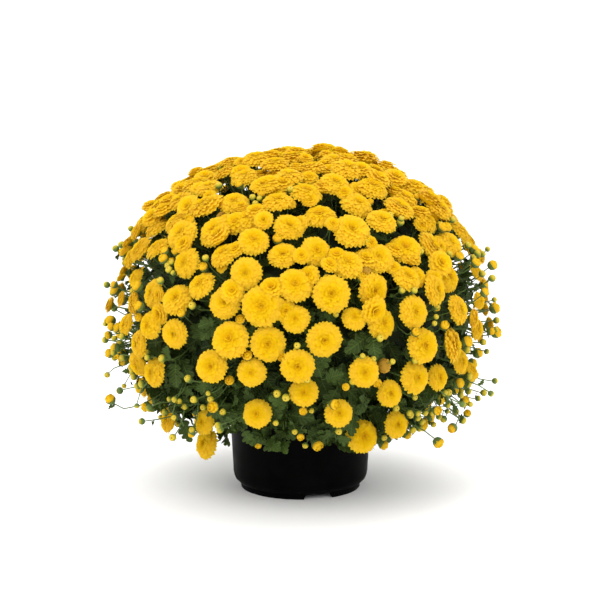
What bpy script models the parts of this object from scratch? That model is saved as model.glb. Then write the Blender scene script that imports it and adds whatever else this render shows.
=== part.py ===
"""A yellow garden chrysanthemum in full flower, standing in its round black nursery pot.

Metres, +Z up. The origin is the middle of the pot's foot, on the surface that it stands on,
and the front of the plant faces -Y. The plant is a dome of double blooms carried in sprays
over a leafy bush, whose stems stand in the soil that fills the pot.
"""

import math

import bmesh
import bpy
import numpy as np

# Pot, a moulded shell
SIDES = 30
POT_HEIGHT = 0.140
FOOT_RADIUS = 0.088
FOOT_HEIGHT = 0.009
FOOT_WALL = 0.003
LEDGE_WIDTH = 0.004
SHOULDER_RADIUS = 0.0993
SHOULDER_HEIGHT = 0.024
RIM_RADIUS = 0.1083
RIM_DEPTH = 0.0085
RIM_OVERHANG = 0.0028
RIM_EDGE = 0.0012
POT_WALL = 0.0018
FLOOR_THICKNESS = 0.0020
FLOOR_LEVEL = FOOT_HEIGHT + FLOOR_THICKNESS / 2
WALL_TOP_RADIUS = RIM_RADIUS - RIM_OVERHANG
NOTCH_FIRST, NOTCH_COUNT = 17.5, 3
NOTCH_HALF_WIDTH, NOTCH_HEIGHT = 12.0, 0.007
NOTCH_SPREAD = 1.2
DRAIN_COUNT, DRAIN_RADIUS, DRAIN_CIRCLE = 4, 0.006, 0.066
DRAIN_SIDES = 8
CUT_PAST = 0.002
TURN_IN_SHARES = (0.65, 0.40)
SHARP_ANGLE = 30

# Soil and the stems that stand in it
SEAT_GAP = 0.0003
SOIL_LEVEL = 0.124
SOIL_MOUND = 0.003
MOUND_SHARE = 0.8
STEM_COUNT = 5
STEM_RADIUS = 0.0045
STEM_SIDES = 6
STEM_CIRCLE = 0.030
STEM_TURN = 0.3
STEM_FOOT = 0.070

# Canopy, the dome that the middles of the blooms lie on
CANOPY_CENTRE = np.array([0.0, 0.0, 0.267])
CANOPY_SIZE = np.array([0.272, 0.272, 0.222])
CANOPY_HEM = 0.092
CANOPY_UNEVENNESS = 0.006
THINNING = ((0.13, 0.17, 0.22, 0.29), (0.0, 0.22, 0.60, 1.0))
SIDE_THINNING = ((0.72, 0.94), (1.0, 0.60))
SIDE_SHRINKING = ((0.70, 0.95), (1.0, 0.70))

# Blooms
SEED = 58
SPIRAL_STEPS = 360
BLOOM_RADII = (0.0175, 0.0258)
SMALLEST_BLOOM = 0.0120
BLOOM_GROWTH = 1.10
BLOOM_GAP = 0.0012
SETTLING_ROUNDS = 200
SETTLING_PUSH, GAP_PUSH = 0.4, 0.3
GAP_REACH = 0.8
BACK_GAPS = 16
BACK_GAP_TURNS = (85, 275)
BACK_GAP_HEIGHTS = (0.20, 0.45)
BACK_GAP_RADII = (0.010, 0.026)
PETALS = 6
NOTCH_REACH = 0.86
TIP_DROOP = 0.05
INNER_REACH, INNER_RISE = 0.56, 0.17
CROWN_RISE = 0.46
CALYX_DEPTH = 0.38
LIFT_TO_LIGHT = 0.15
FACING_SPREAD = 0.16

# Sprays, the blooms whose petals meet
SPRAY_MOST = 8
SPRAY_REACH = 1.34
SPRAY_STEP = 1.30
SEAT_STEP = 0.65
PETAL_THICKNESS = 0.0008
JOIN_SHARE = 0.5

# Bush
CORE_SIZE = np.array([0.236, 0.236, 0.194])
CORE_SIDES, CORE_RINGS = 22, 8
CORE_HEM = 0.122
HEM_RISE = 0.006
HOLLOW_RADIUS = 0.124
HOLLOW_TAPER = 0.006
CORE_FLOOR = 0.152
CORE_LUMPS = 0.008
ROOTING = 0.90
ROOT_DROP = 0.012
ROOT_LOWEST = 0.136
LEAF_STEPS = 176
LEAF_LENGTHS = (0.042, 0.058)
LEAF_THICKNESS = 0.0022
LEAF_ROOTING = 0.014
LEAF_LEAN = (52, 76)
LEAF_SAG = (0.10, 0.35)
LEAF_CLEARANCE = 0.0022
POT_CLEARANCE = (0.010, 0.006)
HIDDEN_LEAF_SHARE = 0.08
LEAF_ZONE = 0.24
LEAF_SWING = 70
HEM_LEAVES = 20
STALK_RADIUS = 0.0014
STALK_SAMPLES = 24
STALK_SHARE = 7
STALK_STRAIGHTNESS = 0.1
CALYX_RADIUS = 0.0034
BUD_RADIUS = 0.0058
BUD_SIDES = 5
BUD_TIP, BUD_BASE = 0.9, 1.1
BUD_LIFT = 0.8
BUD_MARGIN, BUD_SPACING = 1.3, 3
SEEDED_BUDS = 30
SEEDED_BUD_TURNS = (45, 315)
SEEDED_BUD_HEIGHTS = (0.11, 0.30)

# Openings in the flowers where leaves show: azimuth from the front in degrees, height and radius
GAPS = (
    (4, 0.401, 0.015), (-36, 0.450, 0.019), (-39, 0.406, 0.011), (-30, 0.355, 0.012),
    (-9, 0.349, 0.010), (-30, 0.280, 0.029), (-17, 0.293, 0.013), (8, 0.292, 0.012),
    (0, 0.262, 0.014), (11, 0.235, 0.022), (-42, 0.219, 0.030), (-7, 0.206, 0.012),
    (17, 0.423, 0.015), (39, 0.397, 0.012), (42, 0.354, 0.012), (15, 0.325, 0.010),
    (29, 0.318, 0.012), (59, 0.322, 0.019), (18, 0.260, 0.015), (43, 0.274, 0.022),
    (-50, 0.342, 0.016), (25, 0.241, 0.024), (-72, 0.300, 0.022), (78, 0.260, 0.022),
)

# Blooms that stand alone low on the plant: azimuth from the front in degrees, height and radius
LONE_BLOOMS = (
    (-51, 0.092, 0.0195), (-14, 0.158, 0.0180), (1, 0.190, 0.0200), (12, 0.163, 0.0165),
    (26, 0.112, 0.0205), (28, 0.183, 0.0185), (37, 0.131, 0.0165), (-40, 0.126, 0.0165),
    (46, 0.197, 0.0165), (58, 0.210, 0.0185), (-66, 0.118, 0.0175), (-84, 0.150, 0.0180),
)

# Buds that show on the front: azimuth from the front in degrees and height
FRONT_BUDS = (
    (-19, 0.138), (-8, 0.150), (-2, 0.132), (9, 0.152), (-7, 0.188), (38, 0.175), (46, 0.150),
    (34, 0.155), (-60, 0.135), (-46, 0.110), (63, 0.175), (72, 0.230), (-78, 0.160), (2, 0.105),
)

# Half of a leaf's outline from its stalk to its tip, as shares of its length
LEAF_OUTLINE = ((0.34, 0.31), (0.15, 0.44), (0.36, 0.67), (0.16, 0.75))
LEAF_MIDDLE = 0.52

# Colours, linear, and roughnesses
PLASTIC = ((0.004, 0.004, 0.004), 0.45)
EARTH = ((0.030, 0.018, 0.010), 0.95)
GREEN = ((0.028, 0.062, 0.012), 0.60)
YELLOW = ((0.90, 0.56, 0.010), 0.55)


def clear_scene():
    for old in list(bpy.data.objects):
        bpy.data.objects.remove(old, do_unlink=True)


def finish_material(name, colour, roughness):
    """A Principled material in one plain colour."""
    finish = bpy.data.materials.new(name)
    finish.use_nodes = True
    shader = finish.node_tree.nodes["Principled BSDF"]
    shader.inputs["Base Color"].default_value = (*colour, 1.0)
    shader.inputs["Roughness"].default_value = roughness
    finish.diffuse_color = (*colour, 1.0)
    return finish


def add_object(name, points, faces, material=None, collection=None):
    """An object from points and faces, with its faces turned outwards."""
    mesh = bpy.data.meshes.new(name)
    mesh.from_pydata([tuple(point) for point in points], [], faces)
    shape = bmesh.new()
    shape.from_mesh(mesh)
    bmesh.ops.recalc_face_normals(shape, faces=shape.faces)
    shape.to_mesh(mesh)
    shape.free()
    if material:
        mesh.materials.append(material)
    thing = bpy.data.objects.new(name, mesh)
    (collection or bpy.context.scene.collection).objects.link(thing)
    return thing


def unit(vectors):
    return vectors / np.linalg.norm(vectors, axis=-1, keepdims=True)


def turned(profile, sides):
    """Points and faces of a shape turned round the Z axis from (radius, height) pairs.

    The profile starts and ends on the axis.
    """
    points, faces, rings = [], [], []
    for radius, height in profile:
        count = sides if radius else 1
        first = len(points)
        for side in range(count):
            turn = math.tau * side / sides
            points.append((radius * math.cos(turn), radius * math.sin(turn), height))
        rings.append([first + side % count for side in range(sides)])
    for low, high in zip(rings, rings[1:]):
        for side in range(sides):
            after = (side + 1) % sides
            corners = [low[side], low[after], high[after], high[side]]
            faces.append(tuple(dict.fromkeys(corners)))
    return points, faces


# Pot and soil

def pot_profile():
    """The pot's section, from the underside of its floor round the outside to the floor inside."""
    ledge = FOOT_RADIUS + LEDGE_WIDTH
    out, up = TURN_IN_SHARES
    return [
        (0, FLOOR_LEVEL),
        (FOOT_RADIUS - FOOT_WALL, FLOOR_LEVEL),
        (FOOT_RADIUS - FOOT_WALL, 0),
        (FOOT_RADIUS, 0),
        (FOOT_RADIUS, FOOT_HEIGHT),
        (ledge, FOOT_HEIGHT),
        ((1 - out) * ledge + out * SHOULDER_RADIUS, (1 - up) * FOOT_HEIGHT + up * SHOULDER_HEIGHT),
        (SHOULDER_RADIUS, SHOULDER_HEIGHT),
        (WALL_TOP_RADIUS, POT_HEIGHT - RIM_DEPTH),
        (RIM_RADIUS, POT_HEIGHT - RIM_DEPTH + RIM_EDGE),
        (RIM_RADIUS, POT_HEIGHT - RIM_EDGE),
        (RIM_RADIUS - RIM_EDGE, POT_HEIGHT),
        (WALL_TOP_RADIUS - POT_WALL, POT_HEIGHT),
        (SHOULDER_RADIUS - POT_WALL, SHOULDER_HEIGHT),
        (ledge, FLOOR_LEVEL + FLOOR_THICKNESS),
        (0, FLOOR_LEVEL + FLOOR_THICKNESS),
    ]


def notch_shape(azimuth):
    """A block that cuts one notch in the foot, narrower at its top."""
    corners = []
    for height, spread in ((-CUT_PAST, NOTCH_SPREAD), (NOTCH_HEIGHT, 1)):
        for radius in (FOOT_RADIUS - 3 * FOOT_WALL, FOOT_RADIUS + FOOT_WALL):
            for side in (-1, 1):
                turn = math.radians(azimuth - 90 + side * spread * NOTCH_HALF_WIDTH)
                corners.append((radius * math.cos(turn), radius * math.sin(turn), height))
    faces = ((0, 1, 3, 2), (4, 6, 7, 5), (0, 4, 5, 1), (2, 3, 7, 6), (0, 2, 6, 4), (1, 5, 7, 3))
    return corners, faces


def upright_rods(places, radius, low, high, sides):
    """Upright rods of one size that stand on a list of (x, y) places."""
    rod, faces = turned(((0, low), (radius, low), (radius, high), (0, high)), sides)
    return [([(x + place[0], y + place[1], z) for x, y, z in rod], faces) for place in places]


def ring_places(count, radius, first=0.0):
    """Places spaced evenly on a ring round the middle of the pot."""
    turns = math.tau * (np.arange(count) + first) / count
    return radius * np.stack([np.cos(turns), np.sin(turns)], axis=1)


def cut_away(thing, name, shapes):
    """Cuts closed shapes that lie apart out of an object, with one cutter that isn't rendered."""
    points, faces = [], []
    for shape_points, shape_faces in shapes:
        first = len(points)
        points += shape_points
        faces += [tuple(first + corner for corner in face) for face in shape_faces]
    cutter = add_object(name, points, faces)
    cutter.hide_render = True
    cutter.display_type = "WIRE"
    cut = thing.modifiers.new(name, "BOOLEAN")
    cut.object = cutter
    cut.operation = "DIFFERENCE"


def build_pot(material):
    pot = add_object("pot", *turned(pot_profile(), SIDES), material)
    notches = [notch_shape(NOTCH_FIRST + 360 * notch / NOTCH_COUNT) for notch in range(NOTCH_COUNT)]
    drains = upright_rods(ring_places(DRAIN_COUNT, DRAIN_CIRCLE), DRAIN_RADIUS,
                          FLOOR_LEVEL - CUT_PAST, FLOOR_LEVEL + FLOOR_THICKNESS + CUT_PAST,
                          DRAIN_SIDES)
    cut_away(pot, "notches_and_drains", notches + drains)
    pot.data.shade_smooth()
    pot.data.set_sharp_from_angle(angle=math.radians(SHARP_ANGLE))


def stem_places():
    """Where the main stems stand."""
    return ring_places(STEM_COUNT, STEM_CIRCLE, STEM_TURN)


def build_soil(material):
    """The soil fills the pot to below its rim, with a plain hole for each stem."""
    inside = SHOULDER_RADIUS - POT_WALL - SEAT_GAP
    slope = (WALL_TOP_RADIUS - SHOULDER_RADIUS) / (POT_HEIGHT - SHOULDER_HEIGHT)
    top_radius = inside + slope * (SOIL_LEVEL - SHOULDER_HEIGHT)
    floor = FLOOR_LEVEL + FLOOR_THICKNESS + SEAT_GAP
    profile = [
        (0, floor),
        (FOOT_RADIUS + LEDGE_WIDTH - 3 * SEAT_GAP, floor),
        (inside, SHOULDER_HEIGHT),
        (top_radius, SOIL_LEVEL),
        (MOUND_SHARE * top_radius, SOIL_LEVEL + SOIL_MOUND),
        (0, SOIL_LEVEL + SOIL_MOUND),
    ]
    soil = add_object("soil", *turned(profile, SIDES), material)
    holes = upright_rods(stem_places(), STEM_RADIUS + SEAT_GAP, STEM_FOOT - SEAT_GAP,
                         POT_HEIGHT, STEM_SIDES)
    cut_away(soil, "stem_holes", holes)


# Layout of the blooms

def dome_point(azimuth, height, size=CANOPY_SIZE):
    """The point of a dome at an azimuth from the front, in degrees, and a height."""
    level = (height - CANOPY_CENTRE[2]) / size[2]
    out = size[0] * math.sqrt(max(0.0, 1 - level * level))
    turn = math.radians(azimuth)
    return np.array([out * math.sin(turn), -out * math.cos(turn), height])


def onto_canopy(points):
    """Points moved onto the canopy, no lower than its hem."""
    placed = CANOPY_CENTRE + CANOPY_SIZE * unit((points - CANOPY_CENTRE) / CANOPY_SIZE)
    placed[:, 2] = np.maximum(placed[:, 2], CANOPY_HEM)
    return placed


def spiral_points(steps, size, lowest):
    """Points spaced evenly over a dome in a golden spiral, down to a lowest height."""
    golden = math.pi * (3 - math.sqrt(5))
    count = np.arange(steps) + 0.5
    level = 1 - count / steps * (1 - (lowest - CANOPY_CENTRE[2]) / size[2])
    out = np.sqrt(1 - level * level)
    ways = np.stack([out * np.cos(count * golden), out * np.sin(count * golden), level], axis=1)
    return CANOPY_CENTRE + size * ways


def separation(points):
    """The step and the distance between every two points, with each one far from itself."""
    apart = points[:, None] - points
    return apart, np.linalg.norm(apart, axis=2) + 9 * np.eye(len(points))


def settle(points, radii, fixed, gaps, gap_radii):
    """Blooms push each other aside, and draw back from the gaps, until they lie evenly."""
    for _ in range(SETTLING_ROUNDS):
        apart, distance = separation(points)
        push = np.maximum(radii[:, None] + radii + BLOOM_GAP - distance, 0) / distance
        move = SETTLING_PUSH * (apart * push[..., None]).sum(axis=1)
        off = points[:, None] - gaps
        length = np.linalg.norm(off, axis=2)
        push = np.maximum(GAP_REACH * radii[:, None] + gap_radii - length, 0) / length
        move += GAP_PUSH * (off * push[..., None]).sum(axis=1)
        move[:fixed] = 0
        points = onto_canopy(points + move)
    return points


def bloom_layout():
    """Middle, radius, facing and turn of every open bloom.

    Fewer stand low down and at the two sides, where they are smaller too. A bloom opens until
    it meets its nearest neighbour. Those that have no room are left out.
    """
    draw = np.random.default_rng(SEED)
    points = spiral_points(SPIRAL_STEPS, CANOPY_SIZE, CANOPY_HEM)
    chance = np.interp(points[:, 2], *THINNING)
    chance = chance * np.interp(abs(points[:, 0]) / CANOPY_SIZE[0], *SIDE_THINNING)
    points = points[draw.random(len(points)) < chance]
    lone = np.array([dome_point(azimuth, height) for azimuth, height, _ in LONE_BLOOMS])
    lone_radii = np.array([radius for _, _, radius in LONE_BLOOMS])
    near = np.linalg.norm(points[:, None] - lone, axis=2).min(axis=1)
    points = points[near > BLOOM_RADII[1] + lone_radii.min()]
    low, high = BLOOM_RADII
    spread = low + (high - low) * draw.beta(2, 2, len(points))
    spread = spread * np.interp(abs(points[:, 0]) / CANOPY_SIZE[0], *SIDE_SHRINKING)
    radii = np.concatenate([lone_radii, spread])
    ranges = (BACK_GAP_TURNS, BACK_GAP_HEIGHTS, BACK_GAP_RADII)
    behind = [[draw.uniform(*ends) for ends in ranges] for _ in range(BACK_GAPS)]
    gaps = np.array([dome_point(azimuth, height) for azimuth, height, _ in (*GAPS, *behind)])
    gap_radii = np.array([radius for _, _, radius in (*GAPS, *behind)])
    points = settle(np.concatenate([lone, points]), radii, len(lone), gaps, gap_radii)
    out = unit((points - CANOPY_CENTRE) / CANOPY_SIZE ** 2)
    points = points + out * CANOPY_UNEVENNESS * draw.uniform(-1, 1, (len(points), 1))
    _, distance = separation(points)
    room = (distance / (radii[:, None] + radii + BLOOM_GAP)).min(axis=1)
    radii = radii * np.minimum(room, BLOOM_GROWTH)
    facing = out.copy()
    facing[:, 2] = np.maximum(facing[:, 2], 0) + LIFT_TO_LIGHT
    tilt = draw.normal(0, FACING_SPREAD, facing.shape)
    tilt[:len(lone)] = 0
    facing += tilt
    turns = draw.uniform(0, math.tau, len(points))
    kept = radii > SMALLEST_BLOOM
    return points[kept], radii[kept], unit(facing)[kept], turns[kept]


def disc_axes(facing):
    """Two directions in the plane of a bloom, turning to the left round its facing."""
    across = unit(np.cross([0.0, 0.0, 1.0], facing) + [1e-9, 0, 0])
    return across, np.cross(facing, across)


# Sprays of blooms

def free_side(blooms, taken, bloom, other):
    """The side of a bloom's rim that looks to another one, or None where it is taken."""
    points, _, facings, turns = blooms
    across, upward = disc_axes(facings[bloom])
    way = points[other] - points[bloom]
    angle = math.atan2(way @ upward, way @ across) - turns[bloom]
    side = round(angle / (math.pi / PETALS) - 0.5) % (2 * PETALS)
    ends = {side, (side + 1) % (2 * PETALS)}
    return None if ends & taken[bloom] else side


def gather_sprays(blooms):
    """Blooms grouped in sprays, each with the joins that hold its blooms together.

    A spray grows from its highest bloom by the free neighbour that lies nearest to its middle,
    unless that neighbour lies too far behind the petals that would meet.
    """
    points, radii, facings, _ = blooms
    apart, distance = separation(points)
    behind = (apart * facings).sum(axis=2) < -SPRAY_STEP * radii
    reach = (distance < SPRAY_REACH * (radii[:, None] + radii)) & ~behind & ~behind.T
    free = set(range(len(points)))
    taken = [set() for _ in points]
    sprays = []
    for start in np.argsort(-points[:, 2]):
        if start not in free:
            continue
        free.remove(start)
        members, joins = [int(start)], []
        while len(members) < SPRAY_MOST:
            joined = next_bloom(blooms, distance, reach, free, taken, members)
            if joined is None:
                break
            joins.append(joined)
            members.append(joined[2])
            free.remove(joined[2])
        sprays.append((members, joins))
    return sprays


def next_bloom(blooms, distance, reach, free, taken, members):
    """The nearest free bloom that can be joined to the spray, with the two sides that meet."""
    points = blooms[0]
    middle = points[members].mean(axis=0)
    nearby = [other for other in free if reach[other, members].any()]
    for other in sorted(nearby, key=lambda one: np.linalg.norm(points[one] - middle)):
        for member in sorted(members, key=lambda one: distance[one, other]):
            if not reach[other, member]:
                continue
            side = free_side(blooms, taken, member, other)
            facing_side = free_side(blooms, taken, other, member)
            if side is None or facing_side is None:
                continue
            taken[member] |= {side, (side + 1) % (2 * PETALS)}
            taken[other] |= {facing_side, (facing_side + 1) % (2 * PETALS)}
            return member, side, other, facing_side
    return None


def bloom_points(centre, radius, facing, turn):
    """A bloom's points: the rim of petal tips and notches, the inner petals, crown and calyx."""
    across, upward = disc_axes(facing)
    points = []
    for step in range(2 * PETALS):
        angle = turn + step * math.pi / PETALS
        out = math.cos(angle) * across + math.sin(angle) * upward
        if step % 2:
            points.append(centre + radius * NOTCH_REACH * out)
        else:
            points.append(centre + radius * (out - TIP_DROOP * facing))
    for petal in range(PETALS):
        angle = turn + petal * math.tau / PETALS
        out = math.cos(angle) * across + math.sin(angle) * upward
        points.append(centre + radius * (INNER_REACH * out + INNER_RISE * facing))
    points.append(centre + radius * CROWN_RISE * facing)
    points.append(centre - radius * CALYX_DEPTH * facing)
    return points


def bloom_faces(top, low, inner, crown, calyx, joined):
    """A bloom's triangles. A side that is joined to a neighbour stays open."""
    faces = []
    count = len(top)
    for petal in range(PETALS):
        tip, notch, after = 2 * petal, 2 * petal + 1, (2 * petal + 2) % count
        here, beyond = inner[petal], inner[(petal + 1) % PETALS]
        faces += [(top[tip], top[notch], here), (here, top[notch], beyond)]
        faces += [(top[notch], top[after], beyond), (here, beyond, crown)]
    for side in range(count):
        after = (side + 1) % count
        faces.append((low[after], low[side], calyx))
        if side in joined:
            continue
        edge = list(dict.fromkeys([top[after], top[side], low[side], low[after]]))
        if len(edge) > 2:
            faces.append(tuple(edge[:3]))
        if len(edge) > 3:
            faces.append((edge[0], edge[2], edge[3]))
    return faces


def join_rims(points, top, low, joins, facings):
    """Gives two petals that meet the same edge, a petal's thickness deep."""
    count = 2 * PETALS
    for one, side, other, facing_side in joins:
        lift = unit(facings[one] + facings[other]) * PETAL_THICKNESS / 2
        pairs = ((side, (facing_side + 1) % count), ((side + 1) % count, facing_side))
        for mine, theirs in pairs:
            middle = (points[top[one][mine]] + points[top[other][theirs]]) / 2
            points += [middle + lift, middle - lift]
            top[one][mine] = top[other][theirs] = len(points) - 2
            low[one][mine] = low[other][theirs] = len(points) - 1


def build_spray(name, members, joins, blooms, material):
    """One spray of blooms, each a star of petals round a raised crown."""
    centres, radii, facings, turns = blooms
    points, top, low, rest = [], {}, {}, {}
    rim = 2 * PETALS
    for bloom in members:
        first = len(points)
        points += bloom_points(centres[bloom], radii[bloom], facings[bloom], turns[bloom])
        top[bloom] = list(range(first, first + rim))
        low[bloom] = list(range(first, first + rim))
        rest[bloom] = range(first + rim, first + rim + PETALS + 2)
    join_rims(points, top, low, joins, facings)
    faces = []
    for bloom in members:
        joined = [side for one, side, _, _ in joins if one == bloom]
        joined += [side for _, _, other, side in joins if other == bloom]
        *inner, crown, calyx = rest[bloom]
        faces += bloom_faces(top[bloom], low[bloom], inner, crown, calyx, joined)
    used = sorted({corner for face in faces for corner in face})
    place = {corner: number for number, corner in enumerate(used)}
    faces = [tuple(place[corner] for corner in face) for face in faces]
    add_object(name, [points[corner] for corner in used], faces, material)


# Bush

def core_profile():
    """The leafy mass's section: a dome outside and a hollow underneath that clears the pot."""
    hem_level = (CORE_HEM - CANOPY_CENTRE[2]) / CORE_SIZE[2]
    profile = [(0, CANOPY_CENTRE[2] + CORE_SIZE[2])]
    for ring in range(1, CORE_RINGS + 1):
        angle = ring / CORE_RINGS * math.acos(hem_level)
        height = CANOPY_CENTRE[2] + CORE_SIZE[2] * math.cos(angle)
        profile.append((CORE_SIZE[0] * math.sin(angle), height))
    profile.append((HOLLOW_RADIUS, CORE_HEM + HEM_RISE))
    profile.append((HOLLOW_RADIUS - HOLLOW_TAPER, CORE_FLOOR))
    profile.append((0, CORE_FLOOR))
    return profile


def build_core(material):
    """The uneven mass of small twigs and leaves that fills the bush."""
    draw = np.random.default_rng(SEED + 1)
    points, faces = turned(core_profile(), CORE_SIDES)
    points = np.array(points)
    dome = np.arange(len(points)) < 1 + CORE_RINGS * CORE_SIDES
    out = unit(points - CANOPY_CENTRE)
    points += out * dome[:, None] * CORE_LUMPS * draw.uniform(-1, 1, (len(points), 1))
    return add_object("bush", points, faces, material)


def prism(start, end, start_radius, end_radius, way, sides=3):
    """A straight stalk between two points, its ends square to a way."""
    points = []
    across, upward = disc_axes(way)
    for middle, radius in ((start, start_radius), (end, end_radius)):
        for side in range(sides):
            turn = math.tau * side / sides
            points.append(middle + radius * (math.cos(turn) * across + math.sin(turn) * upward))
    faces = [tuple(range(sides)), tuple(range(2 * sides - 1, sides - 1, -1))]
    for side in range(sides):
        after = (side + 1) % sides
        faces.append((side, after, sides + after, sides + side))
    return points, faces


def leaf(root, base, way, face, length):
    """A lobed leaf: a thin blade from base, domed between its lobes, its stalk end at root."""
    across = np.cross(way, face)
    outline = [(0, 0)]
    outline += [(wide, far) for wide, far in LEAF_OUTLINE]
    outline += [(0, 1)]
    outline += [(-wide, far) for wide, far in reversed(LEAF_OUTLINE)]
    points = []
    for wide, far in outline:
        sag = LEAF_SAG[0] * (far - LEAF_MIDDLE) ** 2 + LEAF_SAG[1] * wide * wide
        points.append(base + length * (wide * across + far * way - sag * face))
    points[0] = root
    middle = base + length * LEAF_MIDDLE * way
    points += [middle + face * LEAF_THICKNESS / 2, middle - face * LEAF_THICKNESS / 2]
    count = len(outline)
    faces = []
    for corner in range(count):
        after = (corner + 1) % count
        faces += [(corner, after, count), (after, corner, count + 1)]
    return points, faces


def bud(middle, way):
    """A closed bud, pointed at its tip."""
    across, upward = disc_axes(way)
    points = []
    for side in range(BUD_SIDES):
        turn = math.tau * side / BUD_SIDES
        points.append(middle + BUD_RADIUS * (math.cos(turn) * across + math.sin(turn) * upward))
    points += [middle + way * BUD_RADIUS * BUD_TIP, middle - way * BUD_RADIUS * BUD_BASE]
    faces = []
    for side in range(BUD_SIDES):
        after = (side + 1) % BUD_SIDES
        faces += [(side, after, BUD_SIDES), (after, side, BUD_SIDES + 1)]
    return points, faces


def obstacles(blooms, sprays):
    """What a leaf has to keep clear of: the blooms, and the petals that join them.

    Each is a double cone, given by its middle, radius, facing, and rise and depth by radius.
    """
    centres, radii, facings, _ = blooms
    ends = np.array([(join[0], join[2]) for _, joins in sprays for join in joins])
    middles = (centres[ends[:, 0]] + centres[ends[:, 1]]) / 2
    ways = unit(facings[ends[:, 0]] + facings[ends[:, 1]])
    sizes = JOIN_SHARE * radii[ends].max(axis=1)
    rises = np.repeat([CROWN_RISE, 1.0], [len(centres), len(middles)])
    depths = np.repeat([CALYX_DEPTH, 1.0], [len(centres), len(middles)])
    return (np.concatenate([centres, middles]), np.concatenate([radii, sizes]),
            np.concatenate([facings, ways]), rises, depths)


def sampled(points, faces):
    """The corners, edge middles and face middles of a shape."""
    corners = np.array(points)
    samples = [corners]
    for face in faces:
        ring = corners[list(face)]
        samples.append((ring + np.roll(ring, 1, axis=0)) / 2)
        samples.append(ring.mean(axis=0)[None])
    return np.concatenate(samples)


def clear_of_blooms(samples, blocked, own=None):
    """True where no sample lies in or close to a bloom's double cone, its own bloom apart."""
    centres, radii, facings, rises, depths = blocked
    apart = samples[:, None] - centres
    along = (apart * facings).sum(axis=2)
    across = np.linalg.norm(apart - along[..., None] * facings, axis=2)
    slopes = np.where(along > 0, rises, depths)
    clear = across + abs(along) / slopes > radii + LEAF_CLEARANCE / slopes
    if own is not None:
        clear[:, own] = True
    return bool(clear.all())


def clear_of_pot(samples):
    """True where no sample comes near the pot or its soil."""
    out = np.hypot(samples[:, 0], samples[:, 1])
    aside, above = POT_CLEARANCE
    return bool(((out > RIM_RADIUS + aside) | (samples[:, 2] > POT_HEIGHT + above)).all())


def leaf_ways(point, draw):
    """Which way is out of the core at a leaf, and the ways that it grows and faces."""
    out = unit((point - CANOPY_CENTRE) / CORE_SIZE ** 2)
    low = point[2] < LEAF_ZONE
    downhill = unit(np.array([out[0] * out[2], out[1] * out[2], -1.0 + out[2] ** 2]))
    aside = np.cross(out, downhill)
    lean = math.radians(draw.uniform(*LEAF_LEAN))
    swing = math.radians(draw.uniform(-1, 1) * (LEAF_SWING if low else 180))
    along = math.cos(swing) * downhill + math.sin(swing) * aside
    way = math.cos(lean) * out + math.sin(lean) * along
    face = unit(out - (out @ way) * way)
    return out, way, face


def leaves(blocked):
    """Leaves over the whole bush, wherever they clear the blooms and the pot."""
    draw = np.random.default_rng(SEED + 2)
    shapes = []
    roots = list(spiral_points(LEAF_STEPS, CORE_SIZE, CORE_HEM + HEM_RISE))
    hem = [dome_point(360 * (step + 0.5) / HEM_LEAVES, CORE_HEM + HEM_RISE, CORE_SIZE)
           for step in range(HEM_LEAVES)]
    for point in roots + hem:
        out, way, face = leaf_ways(point, draw)
        length = draw.uniform(*LEAF_LENGTHS)
        hidden = not clear_of_blooms(onto_canopy(point[None]), blocked)
        if hidden and draw.random() > HIDDEN_LEAF_SHARE:
            continue
        shape = leaf(point - LEAF_ROOTING * out, point, way, face, length)
        samples = sampled(*shape)
        if clear_of_blooms(samples, blocked) and clear_of_pot(samples):
            shapes.append(shape)
    return shapes


def root_point(centre):
    """The place inside the core where the stalk of a bloom or bud starts."""
    inner = CORE_SIZE * ROOTING
    root = CANOPY_CENTRE + inner * unit((centre - CANOPY_CENTRE) / CANOPY_SIZE)
    height = max(root[2] - ROOT_DROP, ROOT_LOWEST)
    return dome_point(math.degrees(math.atan2(root[0], -root[1])), height, inner)


def steepness(blooms, joins):
    """How far behind each bloom its furthest joined petal is drawn, as a share of its radius."""
    centres, radii, facings, _ = blooms
    steep = np.zeros(len(centres))
    for one, _, other, _ in joins:
        for bloom, next_one in ((one, other), (other, one)):
            back = (centres[bloom] - centres[next_one]) @ facings[bloom] / radii[bloom]
            steep[bloom] = max(steep[bloom], back)
    return steep


def bloom_stalks(blooms, sprays, blocked):
    """Stalks that widen to a calyx just under a few blooms of each spray."""
    centres, radii, facings, _ = blooms
    shapes = []
    for members, joins in sprays:
        steep = steepness(blooms, joins)
        level = [bloom for bloom in members if steep[bloom] < SEAT_STEP]
        wanted = 1 + (len(members) - 1) // STALK_SHARE
        for bloom in level or [min(members, key=lambda one: steep[one])]:
            seat = centres[bloom] - facings[bloom] * (radii[bloom] * CALYX_DEPTH + SEAT_GAP)
            root = root_point(centres[bloom])
            line = np.linspace(root, seat, STALK_SAMPLES)
            straight = unit(seat - root) @ facings[bloom] > STALK_STRAIGHTNESS
            if wanted and straight and clear_of_blooms(line, blocked, own=bloom):
                shapes.append(prism(root, seat, STALK_RADIUS, CALYX_RADIUS, facings[bloom]))
                wanted -= 1
    return shapes


def bud_places(blocked):
    """Where buds stand: those on the front, and seeded ones round the lower plant."""
    draw = np.random.default_rng(SEED + 3)
    places = [dome_point(azimuth, height) for azimuth, height in FRONT_BUDS]
    for _ in range(SEEDED_BUDS):
        places.append(dome_point(draw.uniform(*SEEDED_BUD_TURNS), draw.uniform(*SEEDED_BUD_HEIGHTS)))
    kept = []
    for place in places:
        around = place + BUD_RADIUS * BUD_MARGIN * np.concatenate([np.eye(3), -np.eye(3)])
        apart = [np.linalg.norm(place - other) for other in kept]
        if clear_of_blooms(around, blocked) and min(apart, default=1) > BUD_SPACING * BUD_RADIUS:
            kept.append(place)
    return kept


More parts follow.
